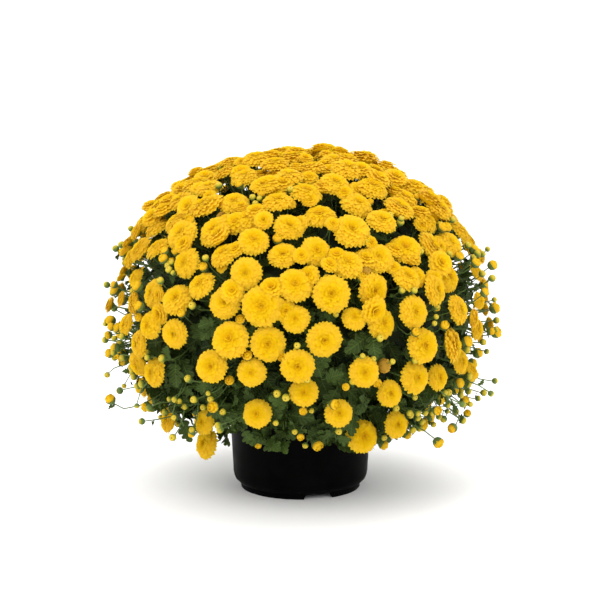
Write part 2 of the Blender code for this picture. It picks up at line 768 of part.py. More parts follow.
def buds(blocked):
    """Buds with their stalks."""
    shapes = []
    for place in bud_places(blocked):
        out = unit((place - CANOPY_CENTRE) / CANOPY_SIZE ** 2)
        way = unit(out + [0, 0, BUD_LIFT])
        root, seat = root_point(place), place - way * BUD_RADIUS / 2
        if clear_of_blooms(np.linspace(root, seat, STALK_SAMPLES), blocked):
            shapes += [prism(root, seat, STALK_RADIUS, STALK_RADIUS, way), bud(place, way)]
    return shapes


def main_stems():
    """The stems that carry the bush, from the holes in the soil up into the core."""
    top = CORE_FLOOR + LEAF_ROOTING
    return upright_rods(stem_places(), STEM_RADIUS, STEM_FOOT, top, STEM_SIDES)


def keep_largest(mesh):
    """Leaves only the mesh's largest connected surface, in triangles.

    Loose scraps go, and sealed hollows are filled.
    """
    shape = bmesh.new()
    shape.from_mesh(mesh)
    waiting = set(shape.verts)
    surfaces = []
    while waiting:
        front = [waiting.pop()]
        surface = set(front)
        while front:
            vertex = front.pop()
            near = {edge.other_vert(vertex) for edge in vertex.link_edges} & waiting
            waiting -= near
            surface |= near
            front += near
        surfaces.append(surface)
    largest = max(surfaces, key=len)
    bmesh.ops.delete(shape, geom=[v for v in shape.verts if v not in largest], context="VERTS")
    bmesh.ops.triangulate(shape, faces=shape.faces, ngon_method="BEAUTY")
    shape.to_mesh(mesh)
    shape.free()


def fuse(base, shapes):
    """Joins closed shapes to an object by one Boolean union."""
    repeats = bpy.data.collections.new("repeats")
    bpy.context.scene.collection.children.link(repeats)
    for number, (points, faces) in enumerate(shapes):
        add_object(f"repeat_{number}", points, faces, collection=repeats)
    union = base.modifiers.new("union", "BOOLEAN")
    union.operand_type = "COLLECTION"
    union.collection = repeats
    union.operation = "UNION"
    bpy.context.view_layer.update()
    joined = base.evaluated_get(bpy.context.evaluated_depsgraph_get())
    mesh = bpy.data.meshes.new_from_object(joined)
    base.modifiers.clear()
    base.data = mesh
    for repeat in list(repeats.objects):
        bpy.data.objects.remove(repeat, do_unlink=True)
    bpy.data.collections.remove(repeats)
    keep_largest(mesh)


def build_bush(blooms, sprays, material):
    core = build_core(material)
    blocked = obstacles(blooms, sprays)
    shapes = main_stems() + leaves(blocked) + buds(blocked)
    fuse(core, shapes + bloom_stalks(blooms, sprays, blocked))


def main():
    clear_scene()
    plastic = finish_material("black_moulded_plastic", *PLASTIC)
    earth = finish_material("potting_soil", *EARTH)
    green = finish_material("chrysanthemum_leaf", *GREEN)
    yellow = finish_material("chrysanthemum_petal", *YELLOW)
    build_pot(plastic)
    build_soil(earth)
    blooms = bloom_layout()
    sprays = gather_sprays(blooms)
    for number, (members, joins) in enumerate(sprays, start=1):
        build_spray(f"bloom_spray_{number:02d}", members, joins, blooms, yellow)
    build_bush(blooms, sprays, green)


main()
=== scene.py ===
"""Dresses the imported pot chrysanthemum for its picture.

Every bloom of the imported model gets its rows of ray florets, the bush gets its stems, lobed leaves
and buds, and the pot its moulded finish. Metres, +Z up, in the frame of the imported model. The
front of the plant faces -Y.
"""

import math

import bpy
import numpy as np
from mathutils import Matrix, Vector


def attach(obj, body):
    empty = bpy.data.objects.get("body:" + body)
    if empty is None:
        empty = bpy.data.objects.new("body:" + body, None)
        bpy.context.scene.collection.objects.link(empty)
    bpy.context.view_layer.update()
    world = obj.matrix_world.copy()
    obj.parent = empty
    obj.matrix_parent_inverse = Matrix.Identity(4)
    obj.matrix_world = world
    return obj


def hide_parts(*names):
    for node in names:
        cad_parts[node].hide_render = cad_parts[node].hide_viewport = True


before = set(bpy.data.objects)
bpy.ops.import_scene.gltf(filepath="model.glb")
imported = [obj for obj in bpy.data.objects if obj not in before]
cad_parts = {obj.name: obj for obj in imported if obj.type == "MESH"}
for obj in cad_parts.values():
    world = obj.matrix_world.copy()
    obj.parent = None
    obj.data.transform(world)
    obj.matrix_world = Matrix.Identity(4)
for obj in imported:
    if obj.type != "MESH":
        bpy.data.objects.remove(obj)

bl_info = {
    "name": "Pot Chrysanthemum",
    "version": (1, 0, 0),
    "blender": (4, 5, 0),
    "location": "3D View > Sidebar > Chrysanthemum",
    "description": "Builds the blooms, buds, leaves, stems and pot of a garden chrysanthemum",
    "category": "Object",
}

# Pot and soil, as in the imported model
POT_HEIGHT = 0.140
FOOT_RADIUS, FOOT_HEIGHT, FOOT_WALL = 0.088, 0.009, 0.003
LEDGE_WIDTH = 0.004
SHOULDER_RADIUS, SHOULDER_HEIGHT = 0.0993, 0.024
RIM_RADIUS, RIM_DEPTH, RIM_OVERHANG = 0.1083, 0.0085, 0.0028
POT_WALL, FLOOR_THICKNESS = 0.0018, 0.0020
NOTCH_FIRST, NOTCH_COUNT = 17.5, 3
NOTCH_HALF_WIDTH, NOTCH_HEIGHT, NOTCH_SPREAD = 12.0, 0.007, 1.2
DRAIN_COUNT, DRAIN_RADIUS, DRAIN_CIRCLE = 4, 0.006, 0.066
DRAIN_SIDES, DRAIN_CUT = 24, 0.020
SOIL_LEVEL = 0.124
STEM_COUNT, STEM_CIRCLE, STEM_TURN = 5, 0.030, 0.3

# The pot's section between those sizes: how far its small edges are rounded, then points of its
# shoulder and wall as radii and heights, how far in and down from its outer top corner the rim
# is rounded, the rings of its floor, and the fillet where floor and wall meet inside
EDGE = 0.0005
SHOULDER_CURVE = ((0.0932, 0.0112), (0.0967, 0.0142), (0.0984, 0.0190),
                  (SHOULDER_RADIUS, SHOULDER_HEIGHT))
WALL_CURVE = ((0.1010, 0.055), (0.1032, 0.095))
RIM_ROUNDING = ((0.0, 0.0012), (0.0005, 0.0004), (0.0014, 0.0))
FLOOR_RINGS = (0.0, 0.03, 0.06)
FLOOR_FILLET = 0.002
# A side every 2.4 degrees, so that the notches' ends fall on sides
POT_SIDES = 150
# The pot's edges that turn by more degrees than this stay sharp
SHARP_ANGLE = 50

# Layout of the blooms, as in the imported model
CANOPY_CENTRE = np.array([0.0, 0.0, 0.267])
CANOPY_SIZE = np.array([0.272, 0.272, 0.222])
CANOPY_HEM = 0.092
CANOPY_UNEVENNESS = 0.006
THINNING = ((0.13, 0.17, 0.22, 0.29), (0.0, 0.22, 0.60, 1.0))
SIDE_THINNING = ((0.72, 0.94), (1.0, 0.60))
SIDE_SHRINKING = ((0.70, 0.95), (1.0, 0.70))
SEED = 58
YOUNG_SEED, BUD_SEED, SHOOT_SEED = 78, 88, 98
SPRAY_SEED, BUD_SHAPE_SEED, FOLIAGE_SEED = 108, 118, 128
SPIRAL_STEPS = 360
BLOOM_RADII = (0.0175, 0.0258)
SMALLEST_BLOOM = 0.0120
BLOOM_GROWTH = 1.10
BLOOM_GAP = 0.0012
SETTLING_ROUNDS = 200
SETTLING_PUSH, GAP_PUSH = 0.4, 0.3
GAP_REACH = 0.8
BACK_GAPS = 16
BACK_GAP_TURNS = (85, 275)
BACK_GAP_HEIGHTS = (0.20, 0.45)
BACK_GAP_RADII = (0.010, 0.026)
CROWN_RISE = 0.46
CALYX_DEPTH = 0.38
LIFT_TO_LIGHT = 0.15
FACING_SPREAD = 0.16
CORE_SIZE = np.array([0.236, 0.236, 0.194])
# How near a bloom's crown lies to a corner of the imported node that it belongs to
SAME_PLACE = 0.001

# Openings in the flowers where leaves show: azimuth from the front in degrees, height and radius
GAPS = (
    (4, 0.401, 0.015), (-36, 0.450, 0.019), (-39, 0.406, 0.011), (-30, 0.355, 0.012),
    (-9, 0.349, 0.010), (-30, 0.280, 0.029), (-17, 0.293, 0.013), (8, 0.292, 0.012),
    (0, 0.262, 0.014), (11, 0.235, 0.022), (-42, 0.219, 0.030), (-7, 0.206, 0.012),
    (17, 0.423, 0.015), (39, 0.397, 0.012), (42, 0.354, 0.012), (15, 0.325, 0.010),
    (29, 0.318, 0.012), (59, 0.322, 0.019), (18, 0.260, 0.015), (43, 0.274, 0.022),
    (-50, 0.342, 0.016), (25, 0.241, 0.024), (-72, 0.300, 0.022), (78, 0.260, 0.022),
)

# Blooms that stand alone low on the plant: azimuth from the front in degrees, height and radius
LONE_BLOOMS = (
    (-51, 0.092, 0.0195), (-14, 0.158, 0.0180), (1, 0.190, 0.0200), (12, 0.163, 0.0165),
    (26, 0.112, 0.0205), (28, 0.183, 0.0185), (37, 0.131, 0.0165), (-40, 0.126, 0.0165),
    (46, 0.197, 0.0165), (58, 0.210, 0.0185), (-66, 0.118, 0.0175), (-84, 0.150, 0.0180),
)

# Young blooms between the open ones: how likely one is by its height and by how far aside it is,
# their radii and lowest height, how far they stray along the canopy and in or out of it, how
# much they tilt, and the shares of a bloom's and of their own radius that they keep off blooms
# and gaps
YOUNG_BY_HEIGHT = ((0.23, 0.29, 0.35), (0.0, 0.4, 1.0))
YOUNG_BY_SIDE = ((0.66, 0.90), (1.0, 0.12))
YOUNG_RADII = (0.0105, 0.0200)
YOUNG_LOWEST = 0.13
YOUNG_STRAY, YOUNG_INSET, YOUNG_TILT = 0.006, 0.009, 0.22
YOUNG_OFF_BLOOM, YOUNG_OFF_GAP = 0.55, 0.5

# A bloom's size as a share of its radius in the layout, and by how far aside it is. Then how many
# degrees wider than their rows say the shapes of open blooms, young blooms and opening buds spread
BLOOM_SIZES = (0.94, 1.05)
SIZE_BY_SIDE = ((0.70, 0.95), (1.0, 0.77))
BLOOM_SPREADS = (0, 4, -3, 7, 2, -2)
YOUNG_SPREADS = (4, 8, 0, 12)
BUD_SPREADS = (0, 5, -5)

# Buds that show on the front: azimuth from the front in degrees and height
FRONT_BUDS = (
    (-19, 0.138), (-8, 0.150), (-2, 0.132), (9, 0.152), (-7, 0.188), (38, 0.175), (46, 0.150),
    (34, 0.155), (-60, 0.135), (-46, 0.110), (63, 0.175), (72, 0.230), (-78, 0.160), (2, 0.105),
    (-56, 0.238), (-50, 0.225), (-35, 0.203), (-34, 0.177), (-49, 0.162), (-44, 0.168),
    (-34, 0.158), (-19, 0.336), (-17, 0.272), (-15, 0.271), (-25, 0.236), (-29, 0.175),
    (13, 0.138), (15, 0.207), (17, 0.243), (21, 0.235), (19, 0.224), (22, 0.213), (26, 0.233),
    (36, 0.311), (16, 0.374), (-3, 0.290), (11, 0.310), (10, 0.297), (3, 0.343), (-3, 0.376),
    (55, 0.123), (61, 0.149), (52, 0.145), (-88, 0.118), (88, 0.206), (85, 0.154), (-70, 0.106),
)

# Buds that have begun to open on the front, given likewise
OPENING_BUDS = (
    (-19, 0.100), (7, 0.105), (86, 0.184), (-17, 0.289), (-28, 0.168), (-21, 0.205),
    (-39, 0.253), (13, 0.202), (16, 0.215), (10, 0.179), (0, 0.128), (-66, 0.168),
)

# Clusters of buds all over the plant: their heights, from how far aside and up to what height
# they count as at the sides or low down, how likely one is at the sides, low down and above, the
# fewest and most buds it may have, how far they stray, and the share that has begun to open
CLUSTER_HEIGHTS = (0.10, 0.485)
CLUSTER_SIDE, CLUSTER_LOW = 0.72, 0.26
CLUSTER_CHANCES = (0.75, 0.45, 0.80)
CLUSTER_BUDS = (1, 4)
CLUSTER_STRAY = 0.013
CLUSTER_OPENING = 0.36

# Buds that hang out past the leaves at the two sides, low down: how many, their heights, how many
# degrees they stray from the side, the share that has begun to open, how far out past the canopy
# they hang, and the widest circle that they keep within
HANGING_BUDS = 38
HANGING_HEIGHTS = (0.090, 0.165)
HANGING_STRAY = 32
HANGING_OPENING = 0.35
HANGING_REACH = (0.010, 0.055)
WIDEST_BUD = 0.286

# Every bud's radius, closed and opening, how deep in the canopy it may stand, how far out of it by
# how far aside, the share of a bloom's radius that it keeps off the bloom's middle, closed and
# opening, how much it looks up, and how much it tilts, with what is added where it hangs
CLOSED_RADII, OPENING_RADII = (0.0038, 0.0056), (0.0060, 0.0092)
BUD_INSET = 0.006
BUD_OUTSET = ((0.75, 0.95), (0.013, 0.022))
BUD_OFF_BLOOM = (0.66, 0.78)
BUD_LIFT = 0.5
BUD_TILT, HANGING_TILT = 0.18, 0.42
# How wide a bud's green cup is for a closed and for an opening bud
CUP_SIZES = (0.97, 0.9)

# Where stems part: the heart of the bush under the canopy's centre, the share of the way out of
# it where a spray's stems fork, and how far above the pot the lowest fork is
HEART_DROP = 0.03
FORK_SHARE = 0.62
FORK_RISE = 0.025
# How many points a stem has, its radii at its root and its end, and its sides
STEM_POINTS = 6
FLOWER_STEM, SIDE_STEM, SHOOT_STEM = (0.0019, 0.0011), (0.0012, 0.0008), (0.0017, 0.0008)
MAIN_STEM = (0.0042, 0.0018)
STEM_SIDES, MAIN_STEM_SIDES = 4, 6
# A direction that no stem follows, to measure round stems from
OFF_STEM = (0.31, 0.17, 0.94)
# How strongly a flower's stem sets off to its bloom, rises at first, and arrives
FLOWER_SET_OFF, FLOWER_RISE, FLOWER_ARRIVAL = 0.7, 0.02, 0.9
# A side stem leaves one of the nearest flower stems at its third point, sags as it sets off, and
# ends this share of the bud's radius under its middle. So many of its points are tried for florets
STEMS_TRIED = 6
BRANCH_POINT = 2
BRANCH_SAG = 0.55
BRANCH_PULL = 0.9
SEAT_DEPTH = 0.8
BRANCH_TESTS = 18
# Where a bloom's florets are: out to this share of its radius, and this far each way from a
# middle level, as shares of the radius
FLORET_REACH, FLORET_LEVEL, FLORET_HALF_DEPTH = 0.92, 0.1, 0.32
# A main stem's foot is the nearest one to this share of its fork's place. It starts this far
# down in the soil, and rises steeply before it bends over to the fork
FOOT_SHARE = 0.3
FOOT_DEPTH = 0.03
MAIN_RISE, MAIN_LIFT = 1.4, 0.04
MAIN_ARRIVAL = (1.2, 1.2, 0.6)
MAIN_POINTS = 8

# Leafy shoots: the share of them that is low, the heights of low and high ones, how far out to
# the canopy they reach, how near to the fork they start, and how they rise, then droop or lift
LOW_SHOOT_SHARE = 0.62
LOW_SHOOTS, HIGH_SHOOTS = (0.095, 0.20), (0.20, 0.44)
SHOOT_REACH = (0.84, 0.985)
SHOOT_START = (0.92, 0.92, 1.0)
SHOOT_RISE, SHOOT_DROOP, SHOOT_LIFT = 0.5, -0.5, 0.6

# Leaves on a stem: how many, between which shares of its path, and their shortest and longest as
# shares of a full-grown leaf
FLOWER_LEAVES = (2, (0.35, 0.90), (0.50, 0.85))
YOUNG_LEAVES = (1, (0.20, 0.70), (0.40, 0.65))
BUD_LEAVES = (2, (0.25, 0.95), (0.24, 0.48))
SHOOT_LEAVES = (7, (0.30, 1.00), (0.70, 1.12))
# How a leaf leaves its stem: how much it follows it, hangs or lifts, looks up and tilts, and how
# much shorter it is towards the stem's end
LEAF_FOLLOW = 0.55
LEAF_HANG = (-0.5, 0.1)
LEAF_LOOK_UP, LEAF_TILT = 0.7, 0.35
LEAF_FULL, LEAF_SHORTENING = 1.15, 0.4
# The fold, the droop and the wave of each leaf that is shaped, and the radians of that wave from
# stalk to tip
LEAF_KINDS = ((0.30, 0.22, 0.2), (0.12, 0.35, 0.3), (0.45, 0.12, 0.15), (0.20, 0.48, 0.35),
              (0.35, 0.05, 0.25))
LEAF_WAVES = 9
# A leaf's mark across is 1 at this share of its length from the midrib
LEAF_HALF_WIDTH = 1 / 2.4
# How far leaves keep off the pot, and the height that they stay above
POT_CLEARANCE = 0.004
LOWEST_LEAF = 0.070

# The bush counts as deep up to this share of the way out to the canopy, and as outermost from so
# much further out. Leaves and stems are painted darker the deeper they are, as painted shade
DEEP_SHARE, DEEP_SPAN = 0.70, 0.25

# The growth inside, dark with painted shade: its share of the core's size, rows and sides, the angle
# at which it starts at the top, its lowest height, its flat floor as radii and heights with the
# height of its top, and how deep its lumps are and how far in and out they go
GROWTH_SHARE = 0.92
GROWTH_ROWS, GROWTH_SIDES = 26, 60
GROWTH_TOP, GROWTH_LOWEST = 0.02, 0.140
GROWTH_FLOOR = ((0.125, 0.156), (0.06, 0.158), (0.0, 0.158))
GROWTH_FLOOR_TOP = 0.16
GROWTH_LUMPS, LUMP_ENDS = 0.006, (-2, 1)
# The leaves that lie over it: how many, at which share of the core's size, down to which height,
# how they lean out and hang, their lengths as shares, and how deep they count, which darkens them
# with painted shade
INNER_LEAVES = 900
INNER_SHARE = 0.90
INNER_LOWEST = 0.150
INNER_LEAN, INNER_HANG = 0.25, 0.3
INNER_LENGTHS = (0.7, 1.0)
INNER_DEPTH = 0.12

# Spent florets that show on the front, given likewise
SPENT = ((-18, 0.384), (-6, 0.315), (25, 0.222), (-33, 0.418), (20, 0.352), (5, 0.330))
SPENT_RADIUS, SPENT_INSET, SPENT_TILT, SPENT_SPREAD = 0.011, 0.006, 0.4, -18

# The rows of a bloom's ray florets from its rim to its heart: how many, then length, width, and
# how far out and up they start as shares of the bloom's radius, the angles above the rim at
# which they set off and end, how deep they are cupped, and their steps
FLORET_ROWS = (
    (27, 0.97, 0.265, 0.10, -0.12, 40, -30, 0.05, 4),
    (25, 0.93, 0.28, 0.10, -0.06, 52, -32, 0.05, 3),
    (23, 0.87, 0.29, 0.09, 0.00, 64, -32, 0.06, 3),
    (19, 0.77, 0.27, 0.08, 0.06, 74, -26, 0.06, 2),
    (15, 0.66, 0.26, 0.06, 0.10, 82, -14, 0.07, 2),
    (11, 0.51, 0.24, 0.04, 0.13, 88, 4, 0.08, 2),
    (7, 0.41, 0.20, 0.02, 0.15, 92, 30, 0.10, 2),
    (3, 0.36, 0.16, 0.00, 0.16, 92, 60, 0.10, 2),
)
YOUNG_ROWS = (
    (18, 0.97, 0.37, 0.10, -0.12, 44, -30, 0.05, 3),
    (16, 0.92, 0.37, 0.09, -0.03, 60, -32, 0.06, 3),
    (13, 0.80, 0.35, 0.07, 0.06, 74, -22, 0.07, 2),
    (9, 0.60, 0.31, 0.05, 0.12, 86, 2, 0.08, 2),
    (5, 0.42, 0.24, 0.02, 0.16, 92, 34, 0.10, 2),
)
OPENING_ROWS = (
    (11, 1.62, 0.62, 0.25, -0.62, 10, 132, 0.16, 4),
    (9, 1.52, 0.58, 0.20, -0.50, 34, 142, 0.16, 3),
    (6, 1.30, 0.50, 0.10, -0.35, 62, 150, 0.20, 3),
)
# The mass of hidden florets that those rows lie on, as (out, up) pairs
PACKED_BLOOM = ((0.40, -0.20), (0.76, -0.12), (0.82, 0.02), (0.76, 0.13), (0.62, 0.25),
                (0.45, 0.34), (0.26, 0.40), (0.0, 0.43))
PACKED_BUD = ((0.30, -0.60), (0.68, -0.44), (0.79, 0.0), (0.73, 0.34), (0.54, 0.52),
              (0.26, 0.61), (0.0, 0.63))
PACKED_SIDES, PACKED_WAVE, PACKED_RIBS = 12, 0.04, 6
# The packed mass's low depth paints it the deeper gold of the heart, partly as painted shade
PACKED_ALONG, PACKED_DEPTH = 0.55, 0.30
# A floret's width along its length, as shares
FLORET_SHAPE = ((0.0, 0.30, 0.60, 0.88, 1.0), (0.42, 0.72, 0.95, 1.0, 0.74))
# How much more a floret's end spreads than its root, and how far its tip is rounded
END_SPREAD, TIP_ROUNDING = 1.4, 0.060
# How florets differ: in length, in their angles at root and end in degrees, in their roll, and
# in their place along the row
FLORET_LENGTHS = (0.95, 1.05)
ROOT_STRAY, END_STRAY = 3, 6
FLORET_ROLL = 0.12
FLORET_STRAY = 0.16

# As (out, up) pairs for a radius of 1: the shallow cup of green scales under a bloom, a closed
# bud with its dimple, and a bud's own cup
CALYX_PROFILE = ((0.06, -0.40), (0.20, -0.34), (0.30, -0.22), (0.34, -0.08))
BUD_PROFILE = ((0.22, -0.95), (0.68, -0.78), (0.97, -0.25), (0.98, 0.22), (0.74, 0.66),
               (0.36, 0.84), (0.10, 0.74))
BUD_CUP = ((0.20, -1.02), (0.66, -0.88), (0.98, -0.42), (1.05, -0.05))
CALYX_SIDES, CUP_SIDES = 7, 8
BUD_SIDES, BUD_WAVE, BUD_RIBS = 9, 0.05, 3

# Half of a leaf's outline from its stalk to its tip, with the midrib point that each part of it
# is joined to, all as shares of the leaf's length
LEAF_EDGE = (
    (0.030, 0.00, 0), (0.035, 0.12, 1), (0.15, 0.15, 1), (0.26, 0.22, 2), (0.27, 0.31, 2),
    (0.14, 0.37, 2), (0.28, 0.41, 3), (0.38, 0.50, 3), (0.36, 0.61, 3), (0.19, 0.64, 3),
    (0.28, 0.71, 4), (0.26, 0.81, 4), (0.13, 0.84, 4), (0.15, 0.92, 5), (0.08, 0.98, 5),
)
LEAF_MIDRIB = (0.0, 0.14, 0.34, 0.56, 0.74, 0.88, 1.0)

# What each point of a mesh tells its material: how far along and across its part it lies, how far
# out in its bloom or in the bush, and a value that is drawn by chance for the whole part. The
# floret, leaf and stem materials paint shade by the depth: the lower it is, the darker
MARKS = ("along", "across", "depth", "chance")
# The share of its cell that a part leaves free at each side, on the map for baking
CELL_MARGIN = 0.06

# The floor, each light's name, place, width and share of the key light's power, what the lights
# shine on, the height that the camera looks at, its sensor in mm, and the shift of its picture
FLOOR_RADIUS, FLOOR_SIDES = 30, 96
LIGHTS = (
    ("key", (-1.1, -2.0, 2.3), 1.6, 1.0),
    ("fill", (1.6, -1.8, 1.2), 1.4, 0.3),
    ("overhead", (0.2, 0.1, 3.0), 2.0, 0.9),
)
LIT_PLACE = (0, 0, 0.25)
CAMERA_AIM_HEIGHT = 0.27
SENSOR_WIDTH = 36
CAMERA_SHIFT = (-0.0008, 0.0080)


def linear(code):
    """The linear colour that a shader takes, from an sRGB hex value."""
    shares = [int(code[start:start + 2], 16) / 255 for start in (1, 3, 5)]
    return tuple(s / 12.92 if s <= 0.04045 else ((s + 0.055) / 1.055) ** 2.4 for s in shares)


# Sizes and colours that a user would change

class FlowerChoices(bpy.types.PropertyGroup):
    """Colours and numbers of the flowers."""

    # The tip colour is partly a painted highlight and the heart colour partly painted shade, over
    # the florets' own deeper gold at the heart
    tip_colour: bpy.props.FloatVectorProperty(
        name="Floret tips", description="Colour of the lit tips of the ray florets",
        default=linear("#F4C92C"), size=3, min=0, max=1, subtype="COLOR")
    middle_colour: bpy.props.FloatVectorProperty(
        name="Floret middles", description="Colour of the ray florets half way to the heart",
        default=linear("#EDC506"), size=3, min=0, max=1, subtype="COLOR")
    heart_colour: bpy.props.FloatVectorProperty(
        name="Hearts", description="Colour deep in the heart of a bloom",
        default=linear("#E3AE00"), size=3, min=0, max=1, subtype="COLOR")
    spent_colour: bpy.props.FloatVectorProperty(
        name="Spent florets", description="Colour of the few florets that have withered",
        default=linear("#9C7622"), size=3, min=0, max=1, subtype="COLOR")
    young_steps: bpy.props.IntProperty(
        name="Young blooms", description="Places tried for young blooms between the open ones",
        default=680, min=0, max=1500)
    bud_clusters: bpy.props.IntProperty(
        name="Bud clusters", description="Clusters of buds all over the plant",
        default=400, min=0, max=600)


class FoliageChoices(bpy.types.PropertyGroup):
    """Colours and sizes of the leaves and stems."""

    leaf_colour: bpy.props.FloatVectorProperty(
        name="Leaves", description="Colour of the outer leaves",
        default=linear("#3B4C1E"), size=3, min=0, max=1, subtype="COLOR")
    # Painted shade: the colour given to leaves deep inside the bush, where shade falls
    shade_colour: bpy.props.FloatVectorProperty(
        name="Shaded leaves", description="Colour of the leaves deep inside the bush",
        default=linear("#18240D"), size=3, min=0, max=1, subtype="COLOR")
    stem_colour: bpy.props.FloatVectorProperty(
        name="Stems", description="Colour of the flower stems",
        default=linear("#5E7438"), size=3, min=0, max=1, subtype="COLOR")
    leaf_length: bpy.props.FloatProperty(
        name="Leaf length", description="Length of a full-grown leaf",
        default=0.043, min=0.02, max=0.09, unit="LENGTH")
    shoots: bpy.props.IntProperty(
        name="Leafy shoots", description="Shoots without flowers in the lower bush",
        default=310, min=0, max=600)


class PotChoices(bpy.types.PropertyGroup):
    """Colours of the pot and its soil."""

    plastic_colour: bpy.props.FloatVectorProperty(
        name="Pot", description="Colour of the pot's plastic",
        default=linear("#040404"), size=3, min=0, max=1, subtype="COLOR")
    soil_colour: bpy.props.FloatVectorProperty(
        name="Soil", description="Colour of the potting soil",
        default=linear("#3A2A1E"), size=3, min=0, max=1, subtype="COLOR")
    grain: bpy.props.FloatProperty(
        name="Grain", description="Distance between the grains of the moulded surface",
        default=0.0012, min=0.0002, max=0.01, unit="LENGTH")


class StageChoices(bpy.types.PropertyGroup):
    """The floor, the light and the camera."""

    floor_colour: bpy.props.FloatVectorProperty(
        name="Floor", description="Colour of the plain floor",
        default=linear("#FBFBFA"), size=3, min=0, max=1, subtype="COLOR")
    daylight: bpy.props.FloatProperty(
        name="Daylight", description="Strength of the even light all round",
        default=1.45, min=0, max=5)
    key_power: bpy.props.FloatProperty(
        name="Key light", description="Power of the large soft light",
        default=24.0, min=0, max=1000, unit="POWER")
    lens: bpy.props.FloatProperty(
        name="Lens", description="Focal length of the camera",
        default=100.0, min=10, max=300, unit="CAMERA")
    distance: bpy.props.FloatProperty(
        name="Distance", description="From the camera to the middle of the plant",
        default=2.44, min=0.5, max=20, unit="LENGTH")
    depression: bpy.props.FloatProperty(
        name="Looking down", description="How far down the camera looks",
        default=math.radians(8.5), min=-1.5, max=1.5, subtype="ANGLE")


# Materials

def add_node(tree, kind, inputs=None, stops=None, **settings):
    """Adds a node with its settings. Inputs are values, or outputs of other nodes to link."""
    node = tree.nodes.new(kind)
    for name, value in settings.items():
        setattr(node, name, value)
    for key, value in (inputs or {}).items():
        if isinstance(value, bpy.types.NodeSocket):
            tree.links.new(value, node.inputs[key])
        else:
            node.inputs[key].default_value = value
    for number, (place, colour) in enumerate(stops or ()):
        if number > 1:
            node.color_ramp.elements.new(place)
        node.color_ramp.elements[number].position = place
        node.color_ramp.elements[number].color = (*colour, 1)
    return node


def new_material(name, roughness, specular, *marks):
    """A material with its node tree, its Principled shader, and the value of each of the marks
    that its mesh's points carry."""
    material = bpy.data.materials.new(name)
    material.use_nodes = True
    tree = material.node_tree
    shader = tree.nodes["Principled BSDF"]
    shader.inputs["Roughness"].default_value = roughness
    shader.inputs["Specular IOR Level"].default_value = specular
    values = [add_node(tree, "ShaderNodeAttribute", attribute_name=mark).outputs["Fac"]
              for mark in marks]
    return material, tree, shader, *values


def darker(colour, share):
    """A colour with a share of its light, or more of it above 1."""
    return tuple(share * part for part in colour)


def coat(tree, shader, colour, height, strength, distance):
    """Gives a shader its colour, and the relief of a height that reaches so many metres."""
    relief = add_node(tree, "ShaderNodeBump",
                      {"Height": height, "Strength": strength, "Distance": distance})
    tree.links.new(colour, shader.inputs["Base Color"])
    tree.links.new(relief.outputs[0], shader.inputs["Normal"])


def let_light_through(tree, shader, colour, share):
    """Lets a share of the light shine through a thin piece, in a colour."""
    glow = add_node(tree, "ShaderNodeBsdfTranslucent", {"Color": colour})
    both = add_node(tree, "ShaderNodeMixShader",
                    {0: share, 1: shader.outputs[0], 2: glow.outputs[0]})
    tree.links.new(both.outputs[0], tree.nodes["Material Output"].inputs["Surface"])


def ridges(tree, value, radians):
    """Even ridges over a value, as a sine wave of so many radians for each unit."""
    wave = add_node(tree, "ShaderNodeMath", {0: value, 1: radians},
                    operation="MULTIPLY").outputs[0]
    return add_node(tree, "ShaderNodeMath", {0: wave}, operation="SINE").outputs[0]


def light_reached(tree, depth, chance):
    """How much light a part's colour is painted with: from 0 in the shade inside the bush to 1
    outside, and a little by chance for each part.
    """
    reach = add_node(tree, "ShaderNodeMath", {0: depth, 1: 0.65}, operation="MULTIPLY").outputs[0]
    return add_node(tree, "ShaderNodeMath", {0: chance, 1: 0.35, 2: reach},
                    operation="MULTIPLY_ADD").outputs[0]


def ray_floret(choices):
    """Chrysanthemum ray florets, thin and velvety, with faint grooves from root to tip, and light
    glows through.
    They run from a deeper gold at the roots and in the heart, partly their own colour and partly
    painted shade down in the folds, to golden yellow at the tips, lighter there as a painted
    highlight."""
    material, tree, shader, along, across, depth, chance = new_material(
        "chrysanthemum_ray_floret", 0.66, 0.09, *MARKS)
    shader.inputs["Sheen Weight"].default_value = 0.04
    tint = add_node(tree, "ShaderNodeMath", {0: chance, 1: 0.34}, operation="MULTIPLY").outputs[0]
    far = add_node(tree, "ShaderNodeMath", {0: along, 1: 0.48, 2: tint},
                   operation="MULTIPLY_ADD").outputs[0]
    place = add_node(tree, "ShaderNodeMath", {0: depth, 1: 0.60, 2: far},
                     operation="MULTIPLY_ADD").outputs[0]
    heart, middle = tuple(choices.heart_colour), tuple(choices.middle_colour)
    tip = tuple(choices.tip_colour)
    # Painted shade and highlight: the ramp darkens towards the roots and the inner rows, most at its
    # first stop, and lightens the tips, over the florets' own deeper gold at the heart
    colour = add_node(tree, "ShaderNodeValToRGB", {0: place},
                      ((0.05, darker(heart, 0.90)), (0.42, heart), (0.80, middle), (1.0, tip)))
    # Almost four grooves across a floret about 5 mm wide, coarser than the real veins so that
    # they show
    coat(tree, shader, colour.outputs[0], ridges(tree, across, 12.0), 0.22, 0.0004)
    # Light that comes through a floret is a cooler yellow than what it sends back
    let_light_through(tree, shader, (*linear("#ECD61C"), 1), 0.46)
    return material


